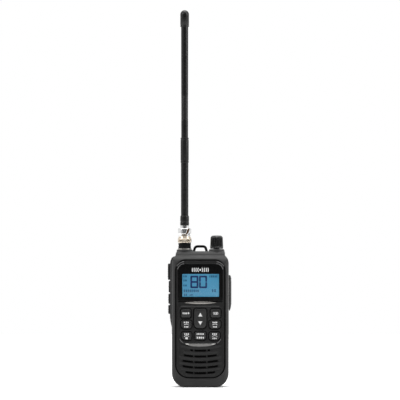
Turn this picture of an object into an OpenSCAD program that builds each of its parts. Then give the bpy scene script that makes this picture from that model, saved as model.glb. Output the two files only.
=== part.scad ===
// Handheld two-way radio. Origin at the centre of the flat base, +Z up, front face towards -Y.

/* [Case] */
// Width of the case across its side walls
body_w = 60; // [59:0.5:62]
// Depth of the case from front to back
body_d = 36; // [36:0.5:37]
// Height of the shoulders above the base
body_h = 140; // [139.5:0.5:141]
// Thickness of the side walls
wall = 2; // [1.8:0.1:2.2]
// Radius of the two lower corners
foot_r = 15; // [14:0.5:16]
// Radius of the two shoulders
shoulder_r = 9.5; // [9:0.5:10]
// Width of the raised deck on top
deck_w = 52; // [51:0.5:53]
// Height of the deck above the base
deck_z = 143.2; // [143:0.1:143.5]

/* [Front] */
// Half width of the pocket that the front panel sits in
pocket_x = 26.5; // [26:0.1:26.6]
// Gap between the front panel and its pocket
panel_gap = 1.1; // [1:0.1:1.2]
// Half width of the display window
window_x = 20.5; // [20:0.1:20.6]
// Travel of a front key
key_travel = 0.7; // [0.5:0.1:0.7]
// Height of a grille slot
slot_h = 2.4; // [2:0.1:2.6]

/* [Top] */
// Distance of the antenna axis from the middle
antenna_x = -16.5; // [-17:0.1:-16]
// Distance of the knob axis from the middle
knob_x = 17.3; // [17:0.1:17.5]
// Distance of both axes behind the middle of the case
top_y = 0; // [-0.2:0.1:0.2]
// Radius of the knob at its foot
knob_r = 6.95; // [6.8:0.05:7]
// Height of the tip of the antenna above the base
tip_z = 397.5; // [380:0.5:410]

/* [Back] */
// Half width of the battery
battery_x = 22; // [21.8:0.1:22]
// Height of the top of the battery above the base
battery_z = 93; // [92:0.5:93]
// Radius of one battery cell
cell_r = 9; // [8.8:0.1:9.2]

/* [Hidden] */
front_y = -body_d / 2;
back_y = body_d / 2;
split_y = 9;
pocket_y = front_y + 2;
inner_y = pocket_y + 1.5;
base_inset = 2.5;
deck_front = -6.6;
deck_roof = 140.4;
panel_x = pocket_x - panel_gap;
panel_top = 133.6;
panel_bottom = 10.6;
lens_box = [-23.5, 23.5, 91, 129.9];
window_box = [-window_x, window_x, 94, 120.5];
lcd_box = [-window_x - 1, window_x + 1, 93, 121.5];
speaker_z = 26;
speaker_r = 16;
board_y = -11;
board_t = 1.5;
housing_x = -32;
side_y0 = -6.5;
side_y1 = 4.5;
tub_y = -6.5;
tub_wall = 1.6;
bay_z0 = 7.6;
bay_z1 = 93.6;
key_back = inner_y + 0.4;
side_back = housing_x + wall + 1.3;
control_half = 5.4;
swing_y = 15.5;
swing_z = 10.5;
rocker_y = -15.2;
rocker_z = 72.6;
fit = 0.05;
gap = 0.3;
key_gap = 0.7;
moat = 0.8;
flange = 0.9;
pillars = [[26.2, 20], [25, 133.5]];
board_posts = [[21.5, 48.6], [21.5, 127.5]];
// Front keys: left, right, bottom and top edge, then corner radii from lower left round to upper left
key_left_1 = [-20.2, -10.2, 73.7, 82.6, [2, 2, 2, 2]];
key_right_1 = [11, 21.3, 73.7, 82.6, [2, 2, 2, 2]];
key_left_2 = [-20.2, -9.3, 62.1, 70.5, [4, 3, 2, 2]];
key_right_2 = [9.5, 21.3, 62.1, 70.5, [3, 4, 2, 2]];
key_left_3 = [-19.5, -9.3, 50, 58.3, [4.1, 3, 2, 2]];
key_right_3 = [9.5, 20.6, 50, 58.3, [3, 4.1, 2, 2]];
key_mid_3 = [-5.8, 5.8, 50.2, 58.6, [3, 3, 2, 2]];
rocker_box = [-6.4, 6.4, 62.4, 82.8, [4.6, 4.6, 2.2, 2.2]];
key_boxes = [key_left_1, key_right_1, key_left_2, key_right_2,
    key_left_3, key_right_3, key_mid_3, rocker_box];
// Side keys: bottom and top edge, and how far out the face stands
ptt_box = [112.9, 129.9, -34.2];
side_1_box = [99.6, 111.6, -33.4];
side_2_box = [87.6, 98.2, -33.7];
side_3_box = [76.9, 86.2, -33.8];
side_boxes = [ptt_box, side_1_box, side_2_box, side_3_box];
// Grille rows: height of the middle, and how far the row reaches from the middle
grille_rows = [[38.6, 10.5], [32.4, 17.2], [26.4, 18.4], [20.7, 18.4], [14.9, 15.4]];
rib_x = 6.9;
rib_w = 1.5;
smile = 0.005;
jack_sockets = [[0, 101, 1.8], [0, 110, 1.3]];
clip_y = 22.6;
clip_z = 84;
$fn = 64;

// Points of an arc about c, from angle a0 to a1
function arc(c, r, a0, a1, n = 8) =
    [for (i = [0:n]) let (a = a0 + (a1 - a0) * i / n) [c[0] + r * cos(a), c[1] + r * sin(a)]];

// Box with four corner radii, from lower left anticlockwise, grown all round by g
function soft_box(b, r, g = 0, n = 8) = let (x0 = b[0] - g, x1 = b[1] + g, z0 = b[2] - g, z1 = b[3] + g)
    concat(
        arc([x0 + r[0] + g, z0 + r[0] + g], r[0] + g, 180, 270, n),
        arc([x1 - r[1] - g, z0 + r[1] + g], r[1] + g, 270, 360, n),
        arc([x1 - r[2] - g, z1 - r[2] - g], r[2] + g, 0, 90, n),
        arc([x0 + r[3] + g, z1 - r[3] - g], r[3] + g, 90, 180, n));

// A flat shape in X and Z, made solid from y0 to y1
module slab(y0, y1) {
    translate([0, y1, 0]) rotate([90, 0, 0]) linear_extrude(y1 - y0) children();
}

// A flat shape in Y and Z, made solid from x0 to x1
module side_slab(x0, x1) {
    translate([x0, 0, 0]) rotate([90, 0, 90]) linear_extrude(x1 - x0) children();
}

module block(x0, x1, y0, y1, z0, z1) {
    translate([x0, y0, z0]) cube([x1 - x0, y1 - y0, z1 - z0]);
}

module post(x, y, z0, z1, r) {
    translate([x, y, z0]) cylinder(h = z1 - z0, r = r);
}

// A round bar along Y
module rod_y(x, z, y0, y1, r) {
    translate([x, y1, z]) rotate([90, 0, 0]) cylinder(h = y1 - y0, r = r);
}

// A round bar along X
module rod_x(y, z, x0, x1, r) {
    translate([x0, y, z]) rotate([0, 90, 0]) cylinder(h = x1 - x0, r = r);
}

module front_outline(i = 0) {
    b = [-body_w / 2 + i, body_w / 2 - i, (i > 0 ? base_inset : 0), body_h - i];
    polygon(soft_box(b, [foot_r - i, foot_r - i, shoulder_r - i, shoulder_r - i]));
}

module side_outline(i = 0) {
    polygon(concat(
        arc([front_y + 3, 3 + i], 3 - i / 2, 180, 270),
        arc([back_y - 3, 3 + i], 3 - i / 2, 270, 360),
        arc([back_y - 9, 130], 9 - i, 0, 90),
        arc([front_y + 12, body_h - 12], 12 - i, 90, 180)));
}

module plan_outline(i = 0) {
    b = [-body_w / 2 + i, body_w / 2 - i, front_y + i, back_y - i];
    polygon(soft_box(b, [6 - i, 6 - i, 3.6 - i, 3.6 - i]));
}

// Outer form of the case, or its hollow when inset
module case_form(i = 0) {
    intersection() {
        slab(front_y + i, back_y - i) front_outline(i);
        side_slab(-body_w / 2, body_w / 2) side_outline(i);
        linear_extrude(body_h) plan_outline(i);
    }
}

// Raised deck that carries the antenna and the knob
module deck_form() {
    x = deck_w / 2;
    slab_points = soft_box([-x, x, 128, deck_z], [1, 1, 3.4, 3.4]);
    side_points = concat(
        [[14.4, 128]],
        arc([12.8, deck_z - 2.8], 1.6, 0, 90),
        arc([-4.5, deck_z - 7], 7, 90, 180),
        [[-11.5, 128]]);
    intersection() {
        slab(-12, 15) polygon(slab_points);
        side_slab(-x, x) polygon(side_points);
    }
}

// Swelling on the left wall that holds the side keys
module key_housing() {
    points = [[-26, 60], [-29.6, 61], [-31.4, 69], [housing_x, 74], [housing_x, 129.5],
        [-31.5, 133], [-30.2, 136], [-28, 137.4], [-26, 137.4]];
    plan = soft_box([-33, -20, -10.5, split_y - 0.5], [2.5, 2, 2, 2.5]);
    intersection() {
        slab(-10.5, split_y - 0.5) polygon(points);
        linear_extrude(body_h) polygon(plan);
    }
}

module key_profile(b, g = 0) {
    polygon(soft_box([b[0], b[1], b[2], b[3]], b[4], g));
}

module side_profile(b, g = 0) {
    polygon(soft_box([side_y0, side_y1, b[0], b[1]], [2, 2, 2, 2], g));
}

// Outline of the front panel, or of its pocket when grown
module panel_profile(g = 0) {
    b = [-panel_x, panel_x, panel_bottom, panel_top];
    polygon(soft_box(b, [13, 13, 10, 10], g));
}

module front_shell() {
    color([0.2, 0.2, 0.21])
    difference() {
        union() {
            difference() {
                union() {
                    case_form();
                    deck_form();
                    key_housing();
                    post(antenna_x, top_y, deck_roof, 144.8, 8.4);
                    translate([knob_x, top_y, deck_roof]) cylinder(h = 4.8, r1 = 9, r2 = 7.8);
                }
                intersection() {
                    case_form(wall);
                    block(-40, 40, inner_y, 40, 0, body_h);
                }
                block(-24, 24, deck_front, 20, 126, deck_roof);
                block(housing_x + wall, -20, side_y0 - 1.6, side_y1 + 1.6, 75.5, 131.4);
                block(-40, 40, split_y, 40, -1, 160);
            }
            for (p = pillars, s = [-1, 1]) rod_y(s * p[0], p[1], inner_y - 0.2, split_y, 2.1);
            for (p = board_posts, s = [-1, 1]) rod_y(s * p[0], p[1], inner_y - 0.2, board_y, 1.5);
        }
        slab(front_y - 1, pocket_y) panel_profile(panel_gap);
        slab(pocket_y - 1, pocket_y + moat) difference() {
            panel_profile(panel_gap);
            panel_profile();
        }
        slab(pocket_y - 1, inner_y + 0.3) polygon(soft_box(window_box, [1, 1, 1, 1]));
        for (b = key_boxes) slab(pocket_y - 1, inner_y + 0.3) key_profile(b, flange + 0.3);
        rod_y(0, speaker_z, pocket_y - 1, inner_y + 0.3, speaker_r);
        rod_x(rocker_y, rocker_z, -8.2, 8.2, 0.5 + fit);
        for (b = side_boxes) side_slab(housing_x - 1, housing_x + wall + 0.2) side_profile(b, gap);
        for (s = jack_sockets) rod_x(s[0], s[1], 27.5, 31, 3.1);
        for (p = pillars, s = [-1, 1]) rod_y(s * p[0], p[1], 3.5, split_y + 1, 1.2);
        for (p = board_posts, s = [-1, 1]) rod_y(s * p[0], p[1], -13.2, board_y + 1, 0.75);
        post(antenna_x, top_y, 138, 146, 4.75);
        post(knob_x, top_y, 138, 147, 3.55);
        post(knob_x, top_y, 143.4, 147, 6.2);
    }
}

module rear_shell() {
    color([0.2, 0.2, 0.21])
    difference() {
        union() {
            difference() {
                union() {
                    case_form();
                    deck_form();
                }
                intersection() {
                    case_form(wall);
                    block(-40, 40, 0, back_y - wall, 0, body_h);
                }
                block(-24, 24, 0, 12, 126, deck_roof);
                block(-40, 40, -40, split_y, -1, 160);
            }
            intersection() {
                case_form(wall + 0.2);
                block(-24, 24, tub_y, split_y + 1, bay_z0 - tub_wall, bay_z1 + tub_wall);
            }
            block(-24, 24, split_y, back_y - 1, bay_z0 - tub_wall, bay_z1 + tub_wall);
            block(-10, 10, 13.4, back_y - 1, bay_z1, 105.4);
            for (p = pillars, s = [-1, 1]) rod_y(s * p[0], p[1], split_y, back_y - 1, 2.1);
        }
        block(-22.4, 22.4, tub_y + tub_wall, 20, bay_z0, bay_z1);
        rod_x(swing_y, swing_z, -23.3, 23.3, 1 + fit);
        block(-8.3, 8.3, 15.4, 20, 93.5, 103.6);
        for (p = pillars, s = [-1, 1]) rod_y(s * p[0], p[1], split_y - 1, 20, 1.3);
        for (p = pillars, s = [-1, 1]) rod_y(s * p[0], p[1], back_y - 1.3, 20, 2.4);
    }
}

// A slot of the grille: a curved band between x0 and x1 about height z
module grille_slot(x0, x1, z) {
    n = 8;
    step = (x1 - x0) / n;
    lower = [for (i = [0:n]) let (x = x0 + i * step) [x, z - slot_h / 2 + smile * x * x]];
    upper = [for (i = [n:-1:0]) let (x = x0 + i * step) [x, z + slot_h / 2 + smile * x * x]];
    polygon(concat(lower, upper));
}

module front_panel() {
    color([0.17, 0.17, 0.18])
    difference() {
        slab(front_y + 0.1, pocket_y) panel_profile();
        slab(front_y - 1, front_y + 1) polygon(soft_box(lens_box, [1.5, 1.5, 7, 7], 0.1));
        slab(front_y - 1, pocket_y + 1) polygon(soft_box(window_box, [1, 1, 1, 1]));
        for (b = key_boxes) slab(front_y - 1, pocket_y + 1) key_profile(b, key_gap);
        for (r = grille_rows) slab(front_y - 1, pocket_y + 1) grille_slot(-r[1], -rib_x - rib_w / 2, r[0]);
        for (r = grille_rows) slab(front_y - 1, pocket_y + 1) grille_slot(rib_x + rib_w / 2, r[1], r[0]);
        for (r = grille_rows) slab(front_y - 1, pocket_y + 1)
            grille_slot(rib_w / 2 - rib_x, rib_x - rib_w / 2, r[0]);
        slab(front_y - 1, front_y + 0.7) trim_profile();
        slab(front_y - 1, front_y + 0.7) crescent_profile();
    }
}

module case_screws() {
    color("silver")
    for (p = pillars, s = [-1, 1]) {
        rod_y(s * p[0], p[1], 4, 17, 1.15);
        rod_y(s * p[0], p[1], back_y - 1.3, back_y - 0.1, 2.2);
    }
}

// Cord loop whose feet stand on the sloping deck
module strap_loop() {
    outer = [[-8.5, 141], [8.5, 141], [7.8, 144.2], [6.6, 147.4], [5.8, 148.6], [4.6, 149.1],
        [-4.6, 149.1], [-5.8, 148.6], [-6.6, 147.4], [-7.8, 144.2]];
    inner = [[-5.6, 140], [5.6, 140], [5.1, 143.8], [4.4, 145.9], [3.8, 146.5],
        [-3.8, 146.5], [-4.4, 145.9], [-5.1, 143.8]];
    color([0.05, 0.05, 0.05])
    difference() {
        slab(10.2, 12.8) polygon(outer);
        slab(9, 14) polygon(inner);
        deck_form();
    }
}

// Rubber flap over the sockets, with its hinge bead along the rear edge
module jack_cover() {
    outline = [[30.15, 81], [31.2, 80.2], [32.5, 85], [32.6, 113],
        [32.3, 116.4], [31.4, 117.7], [30.15, 117.7]];
    plan = soft_box([28, 32.6, -6, 5.9], [0.8, 1.6, 0.6, 0.6]);
    color([0.16, 0.16, 0.17])
    union() {
        intersection() {
            slab(-6, 5.9) polygon(outline);
            linear_extrude(body_h) polygon(plan);
        }
        post(31, 6.3, 82, 116, 0.8);
    }
}

module display_lens() {
    color([0.05, 0.05, 0.06])
    slab(front_y, front_y + 1) polygon(soft_box(lens_box, [1.5, 1.5, 7, 7]));
}

module lcd_panel() {
    color([0.3, 0.58, 0.72])
    slab(inner_y, inner_y + 1.6) polygon(soft_box(lcd_box, [0.5, 0.5, 0.5, 0.5]));
}

module backlight() {
    color("white")
    slab(inner_y + 1.6, board_y) polygon(soft_box(lcd_box, [1.2, 1.2, 1.2, 1.2], -0.6));
}

// Slim bar with pointed ends
module trim_profile() {
    half = 17;
    rise = 1.35;
    r = (half * half + rise * rise) / (2 * rise);
    a = asin(half / r);
    mid = 89.25;
    polygon(concat(
        arc([0, mid + rise - r], r, 90 - a, 90 + a, 12),
        arc([0, mid - rise + r], r, 270 - a, 270 + a, 12)));
}

module display_trim() {
    color([0.62, 0.6, 0.58])
    slab(front_y - 0.3, front_y + 0.7) trim_profile();
}

// Crescent under the keys: flat above, curved below
module crescent_profile() {
    half = 16.4;
    drop = 3.9;
    r = (half * half + drop * drop) / (2 * drop);
    a = asin(half / r);
    top = 46.1;
    curve = arc([0, top - drop + r], r, 270 + a, 270 - a, 16);
    polygon(concat([[half - 1, top + 0.3]], curve, [[1 - half, top + 0.3]]));
}

module crescent_trim() {
    color([0.62, 0.62, 0.62])
    slab(front_y - 0.5, front_y + 0.7) crescent_profile();
}

// Key cap with the flange that keeps it behind the panel
module push_key(b, flange_gap = 0.15) {
    color([0.16, 0.16, 0.16])
    union() {
        slab(front_y - 0.8, key_back) key_profile(b);
        slab(pocket_y + flange_gap, key_back) key_profile(b, flange);
    }
}

module key_left_1() { push_key(key_boxes[0]); }
module key_right_1() { push_key(key_boxes[1]); }
module key_left_2() { push_key(key_boxes[2]); }
module key_right_2() { push_key(key_boxes[3]); }
module key_left_3() { push_key(key_boxes[4]); }
module key_right_3() { push_key(key_boxes[5]); }
module key_mid_3() { push_key(key_boxes[6]); }
// Up and down rocker on two short trunnions
module rocker_key() {
    push_key(key_boxes[7], 0.7);
    color([0.16, 0.16, 0.16]) rod_x(rocker_y, rocker_z, -8.1, 8.1, 0.5);
}

module keypad_membrane() {
    color([0.3, 0.3, 0.3])
    union() {
        slab(board_y - 1.2, board_y) polygon(soft_box([-22.5, 22.5, 51, 84], [2, 2, 2, 2]));
        for (b = [for (i = [0:6]) key_boxes[i]]) {
            rod_y((b[0] + b[1]) / 2, (b[2] + b[3]) / 2, key_back + key_travel + 0.4, board_y - 1, 2.6);
        }
        rod_y(0, 78.6, board_y - 1.8, board_y - 1, 2.2);
        rod_y(0, 66.6, board_y - 1.8, board_y - 1, 2.2);
    }
}

module speaker_mesh() {
    color([0.1, 0.1, 0.1])
    rod_y(0, speaker_z, pocket_y, pocket_y + 0.4, speaker_r - 0.1);
}

module speaker_frame() {
    color([0.25, 0.25, 0.25])
    difference() {
        union() {
            rod_y(0, speaker_z, inner_y, inner_y + 3.2, speaker_r + 1);
            rod_y(0, speaker_z, inner_y + 3, tub_y - 0.2, 9);
        }
        rod_y(0, speaker_z, inner_y - 1, inner_y + 2.4, speaker_r - 1.4);
    }
}

module speaker_cone() {
    color([0.12, 0.11, 0.1])
    difference() {
        translate([0, inner_y + 2.4, speaker_z]) rotate([90, 0, 0])
            cylinder(h = 2, r1 = 5, r2 = speaker_r - 1.6);
        rod_y(0, speaker_z, inner_y - 1, inner_y + 1.2, 4.5);
    }
}

module microphone() {
    color("silver")
    rod_y(-21.8, 40, inner_y, inner_y + 2.6, 3);
}

// Side key cap with the flange behind its window
module side_key(b) {
    color([0.1, 0.1, 0.1])
    union() {
        side_slab(b[2], side_back) side_profile(b);
        side_slab(housing_x + wall + 0.2, side_back) side_profile(b, 0.55);
    }
}

module ptt_key() { side_key(ptt_box); }
module side_key_1() { side_key(side_1_box); }
module side_key_2() { side_key(side_2_box); }
module side_key_3() { side_key(side_3_box); }

module side_switch_board() {
    color([0.05, 0.3, 0.15])
    union() {
        block(-27, -26, inner_y, 5.5, 77, 130);
        for (b = side_boxes) rod_x(-1, (b[0] + b[1]) / 2, -27.5, -26.9, 1.8);
    }
}

module jack_block() {
    color([0.1, 0.1, 0.1])
    difference() {
        union() {
            block(17, 28, -4.5, 4.5, 96.6, 114.4);
            for (s = jack_sockets) rod_x(s[0], s[1], 27, 29.8, 3);
        }
        for (s = jack_sockets) rod_x(s[0], s[1], 18, 31, s[2]);
    }
}

module main_board() {
    color([0.05, 0.3, 0.15])
    difference() {
        block(-23.4, 23.4, board_y, board_y + board_t, 46, 130);
        for (p = board_posts, s = [-1, 1]) rod_y(s * p[0], p[1], board_y - 1, board_y + 3, 0.9);
    }
}

module board_screws() {
    color("silver")
    for (p = board_posts, s = [-1, 1]) {
        rod_y(s * p[0], p[1], -12.8, board_y + board_t + 0.2, 0.7);
        rod_y(s * p[0], p[1], board_y + board_t, board_y + board_t + 0.8, 1.5);
    }
}

module shield_can() {
    color("silver")
    difference() {
        block(-16, 16, board_y + board_t, tub_y - 0.2, 84, 124);
        block(-15.6, 15.6, board_y, tub_y - 0.6, 84.4, 123.6);
    }
}

module volume_knob() {
    top_z = 159.6;
    foot_z = 145.7;
    color([0.13, 0.13, 0.13])
    difference() {
        knob_form(foot_z, top_z);
        post(knob_x, top_y, foot_z - 1, 156.15, 3.02);
        for (i = [0:15]) translate([knob_x, top_y, 0]) rotate([0, 0, i * 22.5])
            translate([knob_r + 0.35, 0, foot_z + 1.6]) cylinder(h = 14, r = 0.75, $fn = 24);
    }
}

// Knob body turned from its outline, with a rounded crown
module knob_form(z0, z1) {
    crown = arc([knob_r - 3, z1 - 2.4], 2.4, 0, 90, 6);
    points = concat([[0, z0], [knob_r, z0], [knob_r, z0 + 1.2]], crown, [[0, z1]]);
    translate([knob_x, top_y, 0]) rotate_extrude() polygon(points);
}

module control_shaft() {
    color("silver")
    difference() {
        post(knob_x, top_y, 134, 156.1, 3);
        block(knob_x - 4, knob_x + 4, top_y + 2.4, top_y + 4, 149, 157);
    }
}

module control_body() {
    color([0.3, 0.4, 0.6])
    difference() {
        union() {
            block(knob_x - control_half, knob_x + control_half, top_y - 6, top_y + 6, 131, deck_roof);
            post(knob_x, top_y, deck_roof - 1, 145.3, 3.5);
        }
        post(knob_x, top_y, 133.8, 147, 3 + fit);
    }
}

module control_nut() {
    color("silver")
    difference() {
        translate([knob_x, top_y, 143.4]) cylinder(h = 1.6, r = 5.6, $fn = 6);
        post(knob_x, top_y, 143, 146, 3.52);
    }
}

// Standard bayonet jack: flange, barrel and the two locking lugs
module bnc_jack() {
    color([0.85, 0.83, 0.78])
    difference() {
        union() {
            post(antenna_x, top_y, 135, 145, 4.7);
            post(antenna_x, top_y, 144.8, 146.3, 7.2);
            post(antenna_x, top_y, 146.2, 160, 4.83);
            rod_x(top_y, 157.4, antenna_x - 5.5, antenna_x + 5.5, 1);
        }
        post(antenna_x, top_y, 148, 161, 4.1);
    }
}

module jack_contact() {
    color("gold")
    difference() {
        union() {
            post(antenna_x, top_y, 148, 150.5, 4.1);
            post(antenna_x, top_y, 150, 158.5, 1.2);
        }
        post(antenna_x, top_y, 151, 160, 0.72);
    }
}

module jack_nut() {
    color("silver")
    difference() {
        translate([antenna_x, top_y, deck_roof - 2.4]) cylinder(h = 2.4, r = 7, $fn = 6);
        post(antenna_x, top_y, 137, 141, 4.72);
    }
}

module seal_ring() {
    color([0.03, 0.03, 0.03])
    difference() {
        union() {
            post(antenna_x, top_y, 146.3, 149, 6.65);
            post(antenna_x, top_y, 148.9, 149.5, 6.3);
            post(antenna_x, top_y, 149.4, 151.7, 6.65);
        }
        post(antenna_x, top_y, 146, 152, 4.86);
    }
}

// Bayonet nut: wide gripping ring below, cone and sleeve above, slanted lug slots
module coupling_nut() {
    points = [[5.8, 152], [6.9, 152], [7.25, 152.4], [7.25, 156.1], [6.9, 156.6], [5.9, 158.9], [6.35, 159.6],
        [6.35, 162.2], [7, 163.4], [7, 166.8], [6.6, 167.3], [4.36, 167.3], [4.36, 161.6], [5.8, 161.6]];
    color([0.85, 0.8, 0.7])
    difference() {
        translate([antenna_x, top_y, 0]) rotate_extrude() polygon(points);
        for (i = [0:29]) translate([antenna_x, top_y, 0]) rotate([0, 0, i * 12])
            translate([7.45, 0, 152.8]) cylinder(h = 3, r = 0.42, $fn = 16);
        for (i = [0, 1]) translate([antenna_x, top_y, 160.4]) rotate([0, 0, 180 * i - 10]) rotate([0, 90, 0])
            cylinder(h = 9, r = 1.15, $fn = 24);
    }
}

module plug_body() {
    color([0.8, 0.8, 0.8])
    difference() {
        union() {
            post(antenna_x, top_y, 153.5, 160.6, 3.9);
            post(antenna_x, top_y, 160.4, 168, 4.26);
            post(antenna_x, top_y, 167.45, 170.3, 4.75);
        }
        post(antenna_x, top_y, 153, 160, 3.3);
        post(antenna_x, top_y, 159, 169, 0.66);
    }
}

module contact_pin() {
    color("gold")
    union() {
        post(antenna_x, top_y, 153.8, 168.5, 0.66);
        translate([antenna_x, top_y, 153]) cylinder(h = 0.8, r1 = 0.3, r2 = 0.66);
    }
}

module antenna_boot() {
    color([0.08, 0.08, 0.08])
    difference() {
        union() {
            post(antenna_x, top_y, 170.3, 179.8, 4.75);
            translate([antenna_x, top_y, 179.8]) cylinder(h = 0.8, r1 = 4.75, r2 = 4.3);
        }
        post(antenna_x, top_y, 172, 181, 4.02);
    }
}

// A tube of the antenna round its core
module antenna_tube(z0, z1, r0, r1) {
    color([0.09, 0.09, 0.09])
    difference() {
        translate([antenna_x, top_y, z0]) cylinder(h = z1 - z0, r1 = r0, r2 = r1);
        post(antenna_x, top_y, z0 - 1, z1 + 1, 1.55);
    }
}

module lower_rod() { antenna_tube(172, 236.5, 4, 4); }
module upper_rod() { antenna_tube(262.9, tip_z - 17.9, 3.65, 3.8); }

module joint_sleeve() {
    color([0.08, 0.08, 0.08])
    difference() {
        post(antenna_x, top_y, 236.5, 262.9, 4.35);
        post(antenna_x, top_y, 236, 264, 1.55);
        for (z = [238.3, 260.5]) translate([antenna_x, top_y, z]) difference() {
            cylinder(h = 0.6, r = 5);
            cylinder(h = 0.6, r = 4.1);
        }
    }
}

module tip_cap() {
    r = 4.65;
    z0 = tip_z - 17.9;
    points = concat([[0, z0], [r - 0.3, z0], [r, z0 + 0.3]], arc([0, tip_z - r], r, 0, 90, 12));
    color([0.08, 0.08, 0.08])
    difference() {
        translate([antenna_x, top_y, 0]) rotate_extrude() polygon(points);
        post(antenna_x, top_y, z0 - 1, tip_z - 6, 1.55);
    }
}

module antenna_core() {
    color([0.8, 0.75, 0.6])
    post(antenna_x, top_y, 172, tip_z - 6.1, 1.5);
}

// Battery with a sloped nose that clears the bay as it swings
module battery_case() {
    y0 = tub_y + tub_wall + 0.35;
    y1 = back_y;
    z0 = bay_z0 + 0.8;
    side = [[y0, z0], [y1 - 3, z0], [y1, z0 + 2.2], [y1, battery_z - 1], [y1 - 1, battery_z],
        [y1 - 2.5, battery_z], [y0, battery_z - 4]];
    color([0.18, 0.18, 0.19])
    difference() {
        union() {
            side_slab(-battery_x, battery_x) polygon(side);
            rod_x(swing_y, swing_z, -23.1, 23.1, 1);
        }
        for (s = [-1, 1]) post(s * (cell_r + 0.4), y0 + cell_r + 1.4, 12, 78, cell_r + 0.2);
    }
}

module battery_cells() {
    y0 = tub_y + tub_wall + 0.35;
    color([0.1, 0.35, 0.6])
    for (s = [-1, 1]) {
        post(s * (cell_r + 0.4), y0 + cell_r + 1.4, 12, 77, cell_r);
        post(s * (cell_r + 0.4), y0 + cell_r + 1.4, 77, 78, 3);
    }
}

module battery_contacts() {
    color("gold")
    for (x = [-12, -4, 4, 12]) block(x - 1.5, x + 1.5, tub_y + tub_wall, tub_y + tub_wall + 0.25, 16, 24);
}

module battery_latch() {
    color([0.12, 0.12, 0.12])
    difference() {
        union() {
            block(-8, 8, 15.7, 17.9, 94.2, 100.6);
            block(-6, 6, 17.6, 18.9, 95.2, 99.6);
        }
        for (z = [96.2, 97.4, 98.6]) block(-5, 5, 18.5, 19, z - 0.2, z + 0.2);
    }
}

module clip_bracket() {
    color([0.12, 0.12, 0.12])
    difference() {
        union() {
            block(-10, 10, back_y, 20, 74, 92);
            for (s = [-1, 1]) block(s * 8.5 - 1.5, s * 8.5 + 1.5, 19, 24.4, 81, 87);
        }
        rod_x(clip_y, clip_z, -11, 11, 1.25);
        for (z = [77.2, 89.4]) rod_y(0, z, back_y - 1, 21, 1.3);
    }
}

module clip_screws() {
    color("silver")
    for (z = [77.2, 89.4]) {
        rod_y(0, z, back_y, 20.2, 1.25);
        rod_y(0, z, 20, 20.8, 2.2);
    }
}

module clip_pin() {
    color("silver")
    rod_x(clip_y, clip_z, -10, 10, 1.2);
}

module clip_spring() {
    color("silver")
    for (x = [-2.4, -1.2, 0, 1.2, 2.4]) translate([x, clip_y, clip_z]) rotate([0, 90, 0])
        rotate_extrude() translate([1.62, 0]) circle(r = 0.4, $fn = 16);
}

// Belt clip: knuckle on the pin, thumb tab above and a long tongue below
module belt_clip() {
    side = [[clip_y + 1.1, 92], [clip_y + 2.6, 92], [clip_y + 2.6, 80], [clip_y + 2.2, 60],
        [clip_y + 0.2, 40], [21.4, 33], [22.8, 28.4], [21.6, 27.6], [19.9, 32.6],
        [clip_y - 1.2, 40], [clip_y + 0.9, 60], [clip_y + 1.1, 80]];
    color([0.12, 0.12, 0.12])
    difference() {
        union() {
            side_slab(-6.7, 6.7) polygon(side);
            rod_x(clip_y, clip_z, -6.7, 6.7, 2.4);
        }
        rod_x(clip_y, clip_z, -7, 7, 1.25);
        block(-3.6, 3.6, clip_y - 3, clip_y + 2.1, clip_z - 3, clip_z + 3);
    }
}

front_shell();
rear_shell();
front_panel();
case_screws();
strap_loop();
jack_cover();
display_lens();
lcd_panel();
backlight();
display_trim();
crescent_trim();
key_left_1();
key_right_1();
key_left_2();
key_right_2();
key_left_3();
key_right_3();
key_mid_3();
rocker_key();
keypad_membrane();
speaker_mesh();
speaker_frame();
speaker_cone();
microphone();
ptt_key();
side_key_1();
side_key_2();
side_key_3();
side_switch_board();
jack_block();
main_board();
board_screws();
shield_can();
volume_knob();
control_shaft();
control_body();
control_nut();
bnc_jack();
jack_contact();
jack_nut();
seal_ring();
coupling_nut();
plug_body();
contact_pin();
antenna_boot();
lower_rod();
joint_sleeve();
upper_rod();
tip_cap();
antenna_core();
battery_case();
battery_cells();
battery_contacts();
battery_latch();
clip_bracket();
clip_screws();
clip_pin();
clip_spring();
belt_clip();
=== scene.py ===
"""Handheld two-way radio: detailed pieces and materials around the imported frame. Metres, +Z up, front -Y."""
from math import asin, copysign, cos, degrees, dist, pi, radians, sin

import bmesh
import bpy
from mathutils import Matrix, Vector


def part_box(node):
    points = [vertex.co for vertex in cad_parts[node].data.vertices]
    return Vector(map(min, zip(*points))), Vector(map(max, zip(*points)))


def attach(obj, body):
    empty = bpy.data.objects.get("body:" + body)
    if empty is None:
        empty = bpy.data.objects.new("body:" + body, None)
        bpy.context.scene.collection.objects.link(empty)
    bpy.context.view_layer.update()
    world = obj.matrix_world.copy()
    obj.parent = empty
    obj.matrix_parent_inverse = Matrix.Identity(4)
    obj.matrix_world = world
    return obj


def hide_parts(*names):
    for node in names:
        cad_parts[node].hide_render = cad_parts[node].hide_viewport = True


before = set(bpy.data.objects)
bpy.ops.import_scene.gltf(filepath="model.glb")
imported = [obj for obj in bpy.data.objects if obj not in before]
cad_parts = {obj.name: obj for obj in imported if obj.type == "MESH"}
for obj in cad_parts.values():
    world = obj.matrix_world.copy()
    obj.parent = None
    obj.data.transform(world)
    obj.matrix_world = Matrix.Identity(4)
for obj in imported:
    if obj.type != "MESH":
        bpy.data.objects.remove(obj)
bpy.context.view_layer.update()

MM = 0.001
COL = bpy.context.scene.collection


def mm(*values):
    return tuple(v * MM for v in values)


# ---------------------------------------------------------------- materials

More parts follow.
